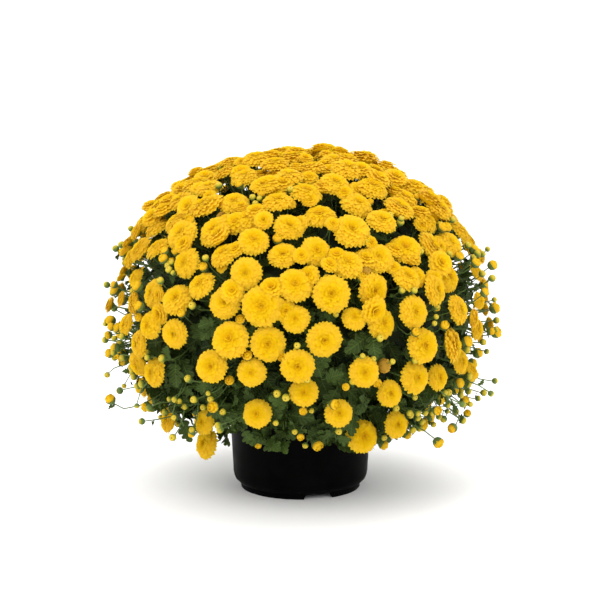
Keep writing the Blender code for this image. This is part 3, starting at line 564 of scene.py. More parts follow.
def leaf_blade(choices):
    """Chrysanthemum leaves, matt and slightly grey with hairs too fine to see, with a pale midrib
    and side veins, and quilted between them. Painted shade darkens those deep inside the bush, and
    painted light makes those out at the canopy paler."""
    material, tree, shader, along, across, depth, chance = new_material(
        "chrysanthemum_leaf_blade", 0.60, 0.14, *MARKS)
    leaf, shade = tuple(choices.leaf_colour), tuple(choices.shade_colour)
    # Painted shade and light: from the shaded colour deep in the bush to a paler green than the leaf
    # colour out at the canopy
    blade = add_node(tree, "ShaderNodeValToRGB", {0: light_reached(tree, depth, chance)},
                     ((0.10, shade), (0.55, darker(leaf, 0.75)), (0.80, leaf),
                      (1.00, darker(leaf, 1.5))))
    off = add_node(tree, "ShaderNodeMath", {0: across}, operation="ABSOLUTE").outputs[0]
    # Side veins about 5 mm apart on a leaf of 43 mm, slanting towards its tip
    slant = add_node(tree, "ShaderNodeMath", {0: off, 1: -0.35, 2: along},
                     operation="MULTIPLY_ADD").outputs[0]
    ribs = ridges(tree, slant, 50.0)
    side_veins = add_node(tree, "ShaderNodeMapRange", {0: ribs, 1: 0.80, 2: 1.0}).outputs[0]
    midrib = add_node(tree, "ShaderNodeMapRange", {0: off, 1: 0.07, 2: 0.02}).outputs[0]
    veins = add_node(tree, "ShaderNodeMath", {0: side_veins, 1: midrib},
                     operation="MAXIMUM").outputs[0]
    pale = add_node(tree, "ShaderNodeMath", {0: veins, 1: 0.45}, operation="MULTIPLY").outputs[0]
    colour = add_node(tree, "ShaderNodeMix",
                      {0: pale, 6: blade.outputs[0], 7: (*darker(leaf, 2.4), 1)},
                      data_type="RGBA").outputs[2]
    coat(tree, shader, colour, ribs, 0.35, 0.0008)
    let_light_through(tree, shader, colour, 0.12)
    return material


def green_stem(choices):
    """Soft green stems and calyxes: ribbed lengthwise, painted darker deep in the bush as shade and
    paler out at the canopy as painted light.
    """
    material, tree, shader, across, depth, chance = new_material(
        "chrysanthemum_green_stem", 0.55, 0.30, "across", "depth", "chance")
    green = tuple(choices.stem_colour)
    # Painted shade and light: darker deep in the bush, paler out at the canopy
    colour = add_node(tree, "ShaderNodeValToRGB", {0: light_reached(tree, depth, chance)},
                      ((0.15, darker(green, 0.35)), (0.60, darker(green, 0.8)), (1.0, green)))
    # Ribs 1 mm apart on thin stems to 4 mm on the main ones, coarser than the real ones so
    # that they show
    coat(tree, shader, colour.outputs[0], ridges(tree, across, 15.0), 0.3, 0.0003)
    return material


def closed_bud():
    """Closed buds: an olive green cup of scales that turns yellow where the florets press
    together at the tip, round a small dark dimple."""
    material, tree, shader, along, across = new_material(
        "chrysanthemum_closed_bud", 0.55, 0.16, "along", "across")
    colour = add_node(tree, "ShaderNodeValToRGB", {0: along},
                      ((0.0, linear("#4F6425")), (0.34, linear("#7A8426")),
                       (0.58, linear("#B6A42A")), (0.90, linear("#D4B63A")),
                       (1.0, linear("#7C7A20"))))
    # Ten scales round a bud about 10 mm wide
    coat(tree, shader, colour.outputs[0], ridges(tree, across, 31.4), 0.5, 0.0005)
    return material


def spent_floret(choices):
    """Withered florets: papery tan brown, darker towards the root."""
    material, tree, shader, along = new_material(
        "chrysanthemum_spent_floret", 0.80, 0.15, "along")
    tan = tuple(choices.spent_colour)
    colour = add_node(tree, "ShaderNodeValToRGB", {0: along},
                      ((0.0, darker(tan, 0.4)), (0.6, tan), (1.0, darker(tan, 1.3))))
    tree.links.new(colour.outputs[0], shader.inputs["Base Color"])
    return material


def moulded_plastic(choices):
    """Recycled black polypropylene, injection moulded: almost no light comes back, apart from a
    soft shine that fine grain and marks of handling break up."""
    material, tree, shader = new_material("moulded_black_polypropylene", 0.42, 0.015)
    place = add_node(tree, "ShaderNodeTexCoord").outputs["Object"]
    grain = add_node(tree, "ShaderNodeTexNoise",
                     {"Vector": place, "Scale": 1 / choices.grain, "Detail": 3.0}).outputs[0]
    # Marks of handling about 26 mm long
    wear = add_node(tree, "ShaderNodeTexNoise",
                    {"Vector": place, "Scale": 38.0, "Detail": 4.0}).outputs[0]
    rough = add_node(tree, "ShaderNodeMapRange", {0: wear, 1: 0.3, 2: 0.7, 3: 0.38, 4: 0.54})
    tree.links.new(rough.outputs[0], shader.inputs["Roughness"])
    black = tuple(choices.plastic_colour)
    colour = add_node(tree, "ShaderNodeValToRGB", {0: wear},
                      ((0.35, darker(black, 0.7)), (0.75, darker(black, 1.8))))
    coat(tree, shader, colour.outputs[0], grain, 0.12, 0.0002)
    return material


def potting_soil(choices):
    """Damp peat: dark crumbs a few millimetres across, with a few pale flecks of perlite."""
    material, tree, shader = new_material("damp_potting_peat", 0.95, 0.15)
    place = add_node(tree, "ShaderNodeTexCoord").outputs["Object"]
    # Crumbs of about 4 mm, and flecks about 8 mm apart and 2 mm wide
    crumbs = add_node(tree, "ShaderNodeTexNoise",
                      {"Vector": place, "Scale": 260.0, "Detail": 6.0}).outputs[0]
    flecks = add_node(tree, "ShaderNodeTexVoronoi", {"Vector": place, "Scale": 120.0})
    pale = add_node(tree, "ShaderNodeMapRange",
                    {0: flecks.outputs["Distance"], 1: 0.12, 2: 0.08}).outputs[0]
    soil = tuple(choices.soil_colour)
    dark = add_node(tree, "ShaderNodeValToRGB", {0: crumbs},
                    ((0.3, darker(soil, 0.3)), (0.7, soil)))
    colour = add_node(tree, "ShaderNodeMix",
                      {0: pale, 6: dark.outputs[0], 7: (*linear("#B9B2A4"), 1)},
                      data_type="RGBA").outputs[2]
    coat(tree, shader, colour, crumbs, 0.9, 0.003)
    return material


def matt_floor(choices):
    """A plain matt floor, painted almost white."""
    material, tree, shader = new_material("matt_painted_floor", 0.90, 0.10)
    place = add_node(tree, "ShaderNodeTexCoord").outputs["Object"]
    # The paint's faint mottle, about 250 mm wide
    mottle = add_node(tree, "ShaderNodeTexNoise", {"Vector": place, "Scale": 4.0}).outputs[0]
    white = tuple(choices.floor_colour)
    colour = add_node(tree, "ShaderNodeValToRGB", {0: mottle},
                      ((0.3, darker(white, 0.99)), (0.7, white)))
    tree.links.new(colour.outputs[0], shader.inputs["Base Color"])
    return material


# Layout of the blooms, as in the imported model

def unit(vectors):
    """Vectors made 1 long."""
    return vectors / np.linalg.norm(vectors, axis=-1, keepdims=True)


def aside(points):
    """How far to the left or the right points lie, as a share of the canopy's half width."""
    return abs(points[..., 0]) / CANOPY_SIZE[0]


def outward(points, size=CANOPY_SIZE):
    """The way out of a dome at each point."""
    return unit((points - CANOPY_CENTRE) / size ** 2)


def dome_point(azimuth, height):
    """The point of the canopy at an azimuth from the front, in degrees, and a height."""
    level = (height - CANOPY_CENTRE[2]) / CANOPY_SIZE[2]
    out = CANOPY_SIZE[0] * math.sqrt(max(0.0, 1 - level * level))
    turn = math.radians(azimuth)
    return np.array([out * math.sin(turn), -out * math.cos(turn), height])


def onto_canopy(points):
    """Points moved onto the canopy, no lower than its hem."""
    moved = CANOPY_CENTRE + CANOPY_SIZE * unit((points - CANOPY_CENTRE) / CANOPY_SIZE)
    moved[:, 2] = np.maximum(moved[:, 2], CANOPY_HEM)
    return moved


def spiral_points(steps, size, lowest):
    """Points spaced evenly over a dome in a golden spiral, down to a lowest height."""
    golden = math.pi * (3 - math.sqrt(5))
    count = np.arange(steps) + 0.5
    level = 1 - count / steps * (1 - (lowest - CANOPY_CENTRE[2]) / size[2])
    out = np.sqrt(1 - level * level)
    ways = np.stack([out * np.cos(count * golden), out * np.sin(count * golden), level], axis=1)
    return CANOPY_CENTRE + size * ways


def separation(points):
    """The step and the distance between every two points, with each one far from itself."""
    apart = points[:, None] - points
    return apart, np.linalg.norm(apart, axis=2) + 9 * np.eye(len(points))


def settle(points, radii, fixed, gaps, gap_radii):
    """Blooms push each other aside, and draw back from the gaps, until they lie evenly."""
    for _ in range(SETTLING_ROUNDS):
        apart, distance = separation(points)
        push = np.maximum(radii[:, None] + radii + BLOOM_GAP - distance, 0) / distance
        move = SETTLING_PUSH * (apart * push[..., None]).sum(axis=1)
        off = points[:, None] - gaps
        length = np.linalg.norm(off, axis=2)
        push = np.maximum(GAP_REACH * radii[:, None] + gap_radii - length, 0) / length
        move += GAP_PUSH * (off * push[..., None]).sum(axis=1)
        move[:fixed] = 0
        points = onto_canopy(points + move)
    return points


def bloom_layout():
    """Middle, radius, facing and turn of every open bloom, and the gaps between them.

    A bloom opens until it meets its nearest neighbour. Those that have no room are left out.
    """
    draw = np.random.default_rng(SEED)
    points = spiral_points(SPIRAL_STEPS, CANOPY_SIZE, CANOPY_HEM)
    chance = np.interp(points[:, 2], *THINNING)
    chance = chance * np.interp(aside(points), *SIDE_THINNING)
    points = points[draw.random(len(points)) < chance]
    lone = np.array([dome_point(azimuth, height) for azimuth, height, _ in LONE_BLOOMS])
    lone_radii = np.array([radius for _, _, radius in LONE_BLOOMS])
    near = np.linalg.norm(points[:, None] - lone, axis=2).min(axis=1)
    points = points[near > BLOOM_RADII[1] + lone_radii.min()]
    low, high = BLOOM_RADII
    spread = low + (high - low) * draw.beta(2, 2, len(points))
    spread = spread * np.interp(aside(points), *SIDE_SHRINKING)
    radii = np.concatenate([lone_radii, spread])
    ranges = (BACK_GAP_TURNS, BACK_GAP_HEIGHTS, BACK_GAP_RADII)
    behind = [[draw.uniform(*ends) for ends in ranges] for _ in range(BACK_GAPS)]
    gaps = np.array([dome_point(azimuth, height) for azimuth, height, _ in (*GAPS, *behind)])
    gap_radii = np.array([radius for _, _, radius in (*GAPS, *behind)])
    points = settle(np.concatenate([lone, points]), radii, len(lone), gaps, gap_radii)
    out = outward(points)
    points = points + out * CANOPY_UNEVENNESS * draw.uniform(-1, 1, (len(points), 1))
    _, distance = separation(points)
    room = (distance / (radii[:, None] + radii + BLOOM_GAP)).min(axis=1)
    radii = radii * np.minimum(room, BLOOM_GROWTH)
    facing = out.copy()
    facing[:, 2] = np.maximum(facing[:, 2], 0) + LIFT_TO_LIGHT
    tilt = draw.normal(0, FACING_SPREAD, facing.shape)
    tilt[:len(lone)] = 0
    facing += tilt
    turns = draw.uniform(0, math.tau, len(points))
    kept = radii > SMALLEST_BLOOM
    blooms = points[kept], radii[kept], unit(facing)[kept], turns[kept]
    return blooms, (gaps, gap_radii)


def disc_axes(facing):
    """Two directions in the plane of a bloom, turning to the left round its facing."""
    across = unit(np.cross([0.0, 0.0, 1.0], facing) + [1e-9, 0, 0])
    return across, np.cross(facing, across)


def spray_of(blooms):
    """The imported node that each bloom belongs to, found by the crown that both share."""
    points, radii, facings, _ = blooms
    crowns = points + radii[:, None] * CROWN_RISE * facings
    names = sorted(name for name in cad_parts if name.startswith("bloom_spray"))
    nearest = []
    for name in names:
        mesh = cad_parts[name].data
        spots = np.empty(3 * len(mesh.vertices))
        mesh.vertices.foreach_get("co", spots)
        spots = spots.reshape(-1, 3)
        nearest.append(np.linalg.norm(crowns[:, None] - spots, axis=2).min(axis=1))
    nearest = np.array(nearest)
    if nearest.min(axis=0).max() > SAME_PLACE:
        raise RuntimeError("the blooms don't stand where the packed model has them")
    return names, nearest.argmin(axis=0)


# Shapes: points, triangles, marks of each point, and the part that each point belongs to

def grid_faces(rows, columns, closed=False):
    """Triangles between rows of points. Closed rows join up at their ends."""
    row, column = np.meshgrid(np.arange(rows - 1), np.arange(columns - (not closed)),
                              indexing="ij")
    after = (column + 1) % columns
    a, b = row * columns + column, row * columns + after
    c, d = a + columns, b + columns
    return np.concatenate([np.stack([a, b, d], -1), np.stack([a, d, c], -1)]).reshape(-1, 3)


def joined(shapes):
    """Several shapes as one."""
    points, faces, marks, parts = [], [], [], []
    first, part = 0, 0
    for shape_points, shape_faces, shape_marks, shape_parts in shapes:
        points.append(shape_points)
        faces.append(shape_faces + first)
        marks.append(shape_marks)
        parts.append(shape_parts + part)
        first += len(shape_points)
        part += shape_parts.max() + 1
    return (np.concatenate(points), np.concatenate(faces), np.concatenate(marks),
            np.concatenate(parts))


def placed(shape, middle, axes, size, chance, depth=None):
    """A copy of a shape at a place, along three axes."""
    points, faces, marks, parts = shape
    marks = marks.copy()
    marks[:, 3] = (marks[:, 3] + chance) / 2
    if depth is not None:
        marks[:, 2] = depth
    return middle + size * points @ np.array(axes), faces, marks, parts


def turned_axes(facing, turn):
    """Three axes round a facing, turned about it."""
    across, upward = disc_axes(facing)
    side = math.cos(turn) * across + math.sin(turn) * upward
    return side, np.cross(facing, side), facing


def turned(points, angle):
    """Points turned to the left round +Z."""
    turn = np.array([[math.cos(angle), math.sin(angle), 0],
                     [-math.sin(angle), math.cos(angle), 0], [0, 0, 1]])
    return points @ turn


def add_piece(name, shapes, materials, kinds=None, stands_for=()):
    """One mesh of many shapes, that rides with the plant.

    The kinds say which of the materials each shape has, if there are several. The map gives
    every part a cell of its own, for baking.
    """
    points, faces, marks, parts = joined(shapes)
    mesh = bpy.data.meshes.new(name)
    mesh.vertices.add(len(points))
    mesh.vertices.foreach_set("co", points.astype(np.float32).ravel())
    mesh.loops.add(faces.size)
    mesh.loops.foreach_set("vertex_index", faces.astype(np.int32).ravel())
    mesh.polygons.add(len(faces))
    mesh.polygons.foreach_set("loop_start", np.arange(0, faces.size, 3, dtype=np.int32))
    for material in materials:
        mesh.materials.append(material)
    if kinds is not None:
        counts = [len(shape[1]) for shape in shapes]
        mesh.polygons.foreach_set("material_index", np.repeat(kinds, counts).astype(np.int32))
    for number, title in enumerate(MARKS):
        values = mesh.attributes.new(title, "FLOAT", "POINT")
        values.data.foreach_set("value", marks[:, number].astype(np.float32))
    cells = math.ceil(math.sqrt(parts.max() + 1))
    cell = np.stack([parts % cells, parts // cells], axis=1)
    inside = np.stack([(marks[:, 1] + 1) / 2, marks[:, 0]], axis=1).clip(0, 1)
    uv = (cell + CELL_MARGIN + (1 - 2 * CELL_MARGIN) * inside) / cells
    layer = mesh.uv_layers.new(name="OFBake")
    layer.data.foreach_set("uv", uv[faces.ravel()].astype(np.float32).ravel())
    mesh.update(calc_edges=True)
    mesh.shade_smooth()
    thing = bpy.data.objects.new(name, mesh)
    bpy.context.scene.collection.objects.link(thing)
    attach(thing, "root")
    if stands_for:
        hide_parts(*stands_for)
    return thing


def floret(row, draw, spread):
    """One ray floret in the plane of +X and the bloom's axis, +Z."""
    _, length, width, out, up, rise, curl, cup, steps = row
    length *= draw.uniform(*FLORET_LENGTHS)
    rise = rise + spread + draw.uniform(-ROOT_STRAY, ROOT_STRAY)
    curl = curl + END_SPREAD * spread + draw.uniform(-END_STRAY, END_STRAY)
    along = np.sin(np.linspace(0, math.pi / 2, steps + 1))
    angles = np.radians(rise + (curl - rise) * (along[:-1] + along[1:]) / 2)
    middle = np.zeros((steps + 1, 3))
    middle[1:, 0] = length * np.cumsum(np.diff(along) * np.cos(angles))
    middle[1:, 2] = length * np.cumsum(np.diff(along) * np.sin(angles))
    middle += [out, 0, up]
    lean = np.radians(rise + (curl - rise) * along)
    above = np.stack([-np.sin(lean), 0 * lean, np.cos(lean)], axis=1)
    ahead = np.stack([np.cos(lean), 0 * lean, np.sin(lean)], axis=1)
    half = (width / 2 * np.interp(along, *FLORET_SHAPE))[:, None]
    bulge = (along == 1)[:, None] * length * TIP_ROUNDING
    edges = middle + above * half * 2 * cup - ahead * bulge / 2
    sideways = half * np.array([0, 1, 0])
    roll = draw.uniform(-FLORET_ROLL, FLORET_ROLL)
    points = np.stack([edges - sideways + above * half * roll, middle + ahead * bulge,
                       edges + sideways - above * half * roll], axis=1).reshape(-1, 3)
    marks = np.zeros((len(points), 4))
    marks[:, 0] = np.repeat(along, 3)
    marks[:, 1] = np.tile([-1, 0, 1], steps + 1)
    marks[:, 3] = draw.random()
    return points, grid_faces(steps + 1, 3), marks, np.zeros(len(points), int)


def bloom_head(rows, packed, draw, spread):
    """A bloom of radius 1 that faces +Z: rows of florets, the outermost first, round and over a
    packed mass. It spreads so many degrees wider than the rows say."""
    points, faces, marks, parts = revolved(packed, PACKED_SIDES, PACKED_WAVE, PACKED_RIBS)
    marks[:, 0], marks[:, 2] = PACKED_ALONG, PACKED_DEPTH
    florets = [(points, faces, marks, parts)]
    for number, row in enumerate(rows):
        first = draw.uniform(0, math.tau)
        for place in range(row[0]):
            stray = draw.uniform(-FLORET_STRAY, FLORET_STRAY)
            turn = first + math.tau * (place + stray) / row[0]
            points, faces, marks, parts = floret(row, draw, spread)
            # Inner rows get a lower depth, which the floret material paints darker: partly their own
            # deeper gold, partly painted shade
            marks[:, 2] = 1 - number / (len(rows) - 1)
            florets.append((turned(points, turn), faces, marks, parts))
    return joined(florets)


def revolved(profile, sides, wave=0.0, ribs=0):
    """A shape turned round +Z from (out, up) pairs, with ribs as high as the wave."""
    profile = np.array(profile)
    turns = math.tau * np.arange(sides) / sides
    rows = len(profile)
    swell = 1 + wave * np.cos(ribs * turns)
    points = np.stack([profile[:, :1] * np.cos(turns) * swell,
                       profile[:, :1] * np.sin(turns) * swell,
                       np.repeat(profile[:, 1:], sides, axis=1)], axis=-1).reshape(-1, 3)
    marks = np.zeros((len(points), 4))
    marks[:, 0] = np.repeat(np.linspace(0, 1, rows), sides)
    marks[:, 1] = np.tile(np.linspace(-1, 1, sides), rows)
    marks[:, 2] = 1
    return points, grid_faces(rows, sides, closed=True), marks, np.zeros(len(points), int)


def stem(path, ends, chance, sides=STEM_SIDES):
    """A stem along a path, with a radius at its root and one at its end."""
    path, radii = np.asarray(path), np.linspace(*ends, len(path))
    ways = unit(np.gradient(path, axis=0))
    across = unit(np.cross(OFF_STEM, ways))
    upward = np.cross(ways, across)
    turns = math.tau * np.arange(sides) / sides
    rings = (path[:, None] + radii[:, None, None] *
             (np.cos(turns)[:, None] * across[:, None] + np.sin(turns)[:, None] * upward[:, None]))
    marks = np.zeros((len(path) * sides, 4))
    marks[:, 0] = np.repeat(np.linspace(0, 1, len(path)), sides)
    marks[:, 1] = np.tile(np.linspace(-1, 1, sides), len(path))
    # Depth out of the bush, by which the stem material paints shade
    marks[:, 2] = np.repeat(reach_of(path), sides)
    marks[:, 3] = chance
    return (rings.reshape(-1, 3), grid_faces(len(path), sides, closed=True), marks,
            np.zeros(len(marks), int))


def reach_of(points):
    """How far out of the bush points lie, from 0 deep inside to 1 at the canopy."""
    size = np.linalg.norm((np.asarray(points) - CANOPY_CENTRE) / CANOPY_SIZE, axis=-1)
    return ((size - DEEP_SHARE) / DEEP_SPAN).clip(0, 1)


def bend(start, leaving, end, arriving, count=STEM_POINTS):
    """Points of a smooth curve between two places, leaving and arriving by its two tangents."""
    t = np.linspace(0, 1, count)[:, None]
    return ((2 * t ** 3 - 3 * t ** 2 + 1) * start + (t ** 3 - 2 * t ** 2 + t) * leaving
            + (3 * t ** 2 - 2 * t ** 3) * end + (t ** 3 - t ** 2) * arriving)


def leaf_shape(fold, droop, wave, draw):
    """A lobed leaf of length 1 that grows along +Y and faces +Z."""
    rib = np.array([(0, y) for y in LEAF_MIDRIB])
    edge = np.array([(x, y) for x, y, _ in LEAF_EDGE])
    owner = [rib_point for _, _, rib_point in LEAF_EDGE]
    flat = np.concatenate([rib, edge, edge * [-1, 1]])
    tip = len(rib) - 1
    faces = []
    for side, first in ((1, len(rib)), (-1, len(rib) + len(edge))):
        half = []
        for corner in range(len(edge) - 1):
            half.append((owner[corner], first + corner, first + corner + 1))
            if owner[corner] != owner[corner + 1]:
                half.append((owner[corner], first + corner + 1, owner[corner + 1]))
        half.append((owner[-1], first + len(edge) - 1, tip))
        faces += half if side > 0 else [face[::-1] for face in half]
    x, y = flat[:, 0], flat[:, 1]
    ripple = wave * np.sin(LEAF_WAVES * y + draw.uniform(0, math.tau)) * abs(x)
    z = fold * abs(x) - droop * y * y + ripple
    marks = np.zeros((len(flat), 4))
    marks[:, 0], marks[:, 1] = y, x / LEAF_HALF_WIDTH
    marks[:, 3] = draw.random()
    return (np.stack([x, y, z], axis=1), np.array(faces), marks, np.zeros(len(flat), int))


# Plans of the plant: where the smaller blooms, buds, stems and leaves go

def young_layout(blooms, gaps, steps):
    """Smaller blooms that push up between the open ones, clear of the gaps."""
    points, radii, _, _ = blooms
    draw = np.random.default_rng(YOUNG_SEED)
    spots = onto_canopy(spiral_points(steps, CANOPY_SIZE, YOUNG_LOWEST)
                        + draw.normal(0, YOUNG_STRAY, (steps, 3)))
    chance = np.interp(spots[:, 2], *YOUNG_BY_HEIGHT) * np.interp(aside(spots), *YOUNG_BY_SIDE)
    spots = spots[draw.random(steps) < chance]
    sizes = draw.uniform(*YOUNG_RADII, len(spots)) * np.interp(aside(spots), *SIDE_SHRINKING)
    off = np.linalg.norm(spots[:, None] - points, axis=2) / radii
    clear = (np.linalg.norm(spots[:, None] - gaps[0], axis=2) - gaps[1]
             - YOUNG_OFF_GAP * sizes[:, None])
    kept = (off.min(axis=1) > YOUNG_OFF_BLOOM) & (clear.min(axis=1) > 0)
    spots, sizes = spots[kept], sizes[kept]
    out = outward(spots)
    spots = spots - out * draw.uniform(-YOUNG_INSET, YOUNG_INSET, (len(spots), 1))
    facing = out + [0, 0, LIFT_TO_LIGHT] + draw.normal(0, YOUNG_TILT, spots.shape)
    return spots, sizes, unit(facing), draw.uniform(0, math.tau, len(spots))


def cluster_chance(place):
    """How likely a cluster of buds is at a place: at the sides, low down or above."""
    at_side, low_down, above = CLUSTER_CHANCES
    if aside(place) > CLUSTER_SIDE:
        return at_side
    return low_down if place[2] < CLUSTER_LOW else above


def bud_layout(blooms, clusters):
    """Middle, radius, facing and kind of every bud: those named at the top, then clusters by
    chance, fewest low down in front and behind, and then those that hang out at the sides.

    The kinds are 0 for a closed bud and 1 for one that has begun to open. Buds that would stand
    in a bloom are left out.
    """
    points, radii, _, _ = blooms
    draw = np.random.default_rng(BUD_SEED)
    spots = [dome_point(*place) for place in FRONT_BUDS + OPENING_BUDS]
    kinds = [0] * len(FRONT_BUDS) + [1] * len(OPENING_BUDS)
    for _ in range(clusters):
        first = dome_point(draw.uniform(0, 360), draw.uniform(*CLUSTER_HEIGHTS))
        if draw.random() > cluster_chance(first):
            continue
        for _ in range(draw.integers(*CLUSTER_BUDS, endpoint=True)):
            spots.append(first + draw.normal(0, CLUSTER_STRAY, 3))
            kinds.append(int(draw.random() < CLUSTER_OPENING))
    hanging = np.arange(len(spots) + HANGING_BUDS)[:, None] >= len(spots)
    for _ in range(HANGING_BUDS):
        turn = draw.choice((-90, 90)) + draw.normal(0, HANGING_STRAY)
        spots.append(dome_point(turn, draw.uniform(*HANGING_HEIGHTS)))
        kinds.append(int(draw.random() < HANGING_OPENING))
    spots, kinds = onto_canopy(np.array(spots)), np.array(kinds)
    count = len(kinds)
    sizes = np.where(kinds == 1, draw.uniform(*OPENING_RADII, count),
                     draw.uniform(*CLOSED_RADII, count))
    out = outward(spots)
    outset = np.interp(aside(spots), *BUD_OUTSET)[:, None]
    spots = spots + out * (draw.uniform(-BUD_INSET, 0.0, (count, 1))
                           + outset * draw.uniform(0, 1, (count, 1)))
    spots += hanging * draw.uniform(*HANGING_REACH, (count, 1)) * unit(spots * [1, 1, 0])
    reach = np.linalg.norm(spots[:, :2], axis=1)[:, None]
    spots[:, :2] *= np.minimum(1, WIDEST_BUD / reach)
    off = np.linalg.norm(spots[:, None] - points, axis=2) / radii
    kept = off.min(axis=1) > np.array(BUD_OFF_BLOOM)[kinds]
    tilt = draw.normal(0, 1, spots.shape) * (BUD_TILT + HANGING_TILT * hanging)
    facing = unit(out + [0, 0, BUD_LIFT] + tilt)
    return spots[kept], sizes[kept], facing[kept], kinds[kept]


def stem_places():
    """Where the main stems stand, at the level of the soil."""
    turns = math.tau * (np.arange(STEM_COUNT) + STEM_TURN) / STEM_COUNT
    return np.stack([STEM_CIRCLE * np.cos(turns), STEM_CIRCLE * np.sin(turns),
                     np.full(STEM_COUNT, SOIL_LEVEL)], axis=1)


def fork_points(blooms, sprays, count):
    """The place inside the bush where the stems of each spray part."""
    middles = np.array([blooms[0][sprays == spray].mean(axis=0) for spray in range(count)])
    heart = CANOPY_CENTRE - [0, 0, HEART_DROP]
    forks = heart + FORK_SHARE * (middles - heart)
    forks[:, 2] = np.maximum(forks[:, 2], POT_HEIGHT + FORK_RISE)
    return forks


def main_stems(forks):
    """The path of a stem from the nearest foot in the soil to each fork."""
    feet = stem_places()
    for fork in forks:
        start = feet[np.linalg.norm(feet[:, :2] - FOOT_SHARE * fork[:2], axis=1).argmin()]
        leaving = np.array([0, 0, MAIN_RISE * (fork[2] - start[2]) + MAIN_LIFT])
        yield bend(start - [0, 0, FOOT_DEPTH], leaving, fork, (fork - start) * MAIN_ARRIVAL,
                   MAIN_POINTS)


def flower_stems(blooms, sprays, forks):
    """The path of the stem of every open bloom, from its spray's fork to its calyx."""
    paths = []
    for middle, radius, facing, spray in zip(*blooms[:3], sprays):
        seat = middle - facing * radius * CALYX_DEPTH
        fork = forks[spray]
        span = np.linalg.norm(seat - fork)
        leaving = span * FLOWER_SET_OFF * unit(seat - fork) + [0, 0, FLOWER_RISE]
        paths.append(bend(fork, leaving, seat, span * FLOWER_ARRIVAL * facing))
    return paths


def through_florets(points, crowd):
    """True where any of the points is among the florets of a bloom in the crowd."""
    middles, radii, facings = crowd
    offset = points[:, None] - middles
    height = (offset * facings).sum(axis=2)
    across = np.linalg.norm(offset - height[..., None] * facings, axis=2)
    level = abs(height / radii - FLORET_LEVEL) < FLORET_HALF_DEPTH
    return ((across < FLORET_REACH * radii) & level).any()


def side_stems(spots, sizes, facings, blooms, paths, crowd):
    """The path of the stem of each small bloom or bud, and whether it is clear of the florets.

    It leaves one of the nearest flower stems, the first that lets it pass between the blooms.
    """
    branches, clear = [], []
    for spot, size, facing in zip(spots, sizes, facings):
        seat = spot - facing * size * SEAT_DEPTH
        for near in np.linalg.norm(blooms[0] - spot, axis=1).argsort()[:STEMS_TRIED]:
            start = paths[near][BRANCH_POINT]
            pull = np.linalg.norm(seat - start) * BRANCH_PULL
            leaving = pull * unit(unit(seat - start) - [0, 0, BRANCH_SAG])
            ends = start, leaving, seat, pull * facing
            free = not through_florets(bend(*ends, BRANCH_TESTS), crowd)
            if free:
                break
        branches.append(bend(*ends))
        clear.append(free)
    return branches, np.array(clear)


def shoot_paths(count, forks):
    """Leafy shoots without flowers, most of them low on the bush and some over the pot."""
    draw = np.random.default_rng(SHOOT_SEED)
    paths = []
    for _ in range(count):
        heights = LOW_SHOOTS if draw.random() < LOW_SHOOT_SHARE else HIGH_SHOOTS
        height = draw.uniform(*heights)
        end = dome_point(draw.uniform(0, 360), height)
        end[:2] *= draw.uniform(*SHOOT_REACH)
        near = np.linalg.norm(forks - end, axis=1).argmin()
        start = forks[near] * SHOOT_START
        span = np.linalg.norm(end - start)
        side = unit(end * [1, 1, 0])
        leaving = span * unit(side + [0, 0, SHOOT_RISE])
        tip = SHOOT_DROOP if height < LOW_SHOOTS[1] else SHOOT_LIFT
        paths.append(bend(start, leaving, end, span * unit(side + [0, 0, tip])))
    return paths


def leaves_along(paths, shapes, growth, long, draw):
    """Leaves on stems, given how many, between which shares of the path and of what lengths."""
    each, reach, lengths = growth
    leaves = []
    for path in paths:
        for number in range(each):
            share = reach[0] + (reach[1] - reach[0]) * (number + draw.random()) / each
            place = share * (len(path) - 1)
            low = min(int(place), len(path) - 2)
            base = path[low] + (place - low) * (path[low + 1] - path[low])
            along = unit(path[low + 1] - path[low])
            side = unit(np.cross(along, draw.normal(0, 1, 3)))
            way = unit(LEAF_FOLLOW * along + side + [0, 0, draw.uniform(*LEAF_HANG)])
            face = outward(base) + [0, 0, LEAF_LOOK_UP] + draw.normal(0, LEAF_TILT, 3)
            face = unit(face - (face @ way) * way)
            length = draw.uniform(lengths[0] * long, lengths[1] * long)
            length *= LEAF_FULL - LEAF_SHORTENING * share
            shape = shapes[draw.integers(len(shapes))]
            axes = np.cross(way, face), way, face
            # The leaf's depth in the bush, by which the leaf material paints shade
            leaves.append(placed(shape, base, axes, length, draw.random(), reach_of(base)))
    return leaves


def clear_of_pot(shape):
    """True where a shape keeps out of the pot and its soil."""
    points = shape[0]
    out = np.hypot(points[:, 0], points[:, 1])
    low = (points[:, 2] < POT_HEIGHT + POT_CLEARANCE) & (out < RIM_RADIUS + POT_CLEARANCE)
    return not low.any() and points[:, 2].min() > LOWEST_LEAF


def in_the_clear(leaves, crowd):
    """The leaves that keep out of the pot and of the florets of the blooms."""
    return [leaf for leaf in leaves
            if clear_of_pot(leaf) and not through_florets(leaf[0], crowd)]


# The plan that the flowers, the buds and the foliage share

PLAN = {}


def plant_plan(choices):
    """Everything that more than one piece needs to know, worked out once."""
    if "blooms" not in PLAN:
        blooms, gaps = bloom_layout()
        names, sprays = spray_of(blooms)
        forks = fork_points(blooms, sprays, len(names))
        young = young_layout(blooms, gaps, choices.young_steps)
        buds = bud_layout(blooms, choices.bud_clusters)
        paths = flower_stems(blooms, sprays, forks)
        crowd = [np.concatenate(pair) for pair in zip(blooms[:3], young[:3])]
        young_stems, _ = side_stems(*young[:3], blooms, paths, crowd)
        bud_stems, clear = side_stems(*buds[:3], blooms, paths, crowd)
        PLAN.update(blooms=blooms, names=names, sprays=sprays, forks=forks, young=young,
                    crowd=crowd, buds=[part[clear] for part in buds], paths=paths,
                    young_stems=young_stems,
                    bud_stems=[path for path, free in zip(bud_stems, clear) if free])
    return PLAN


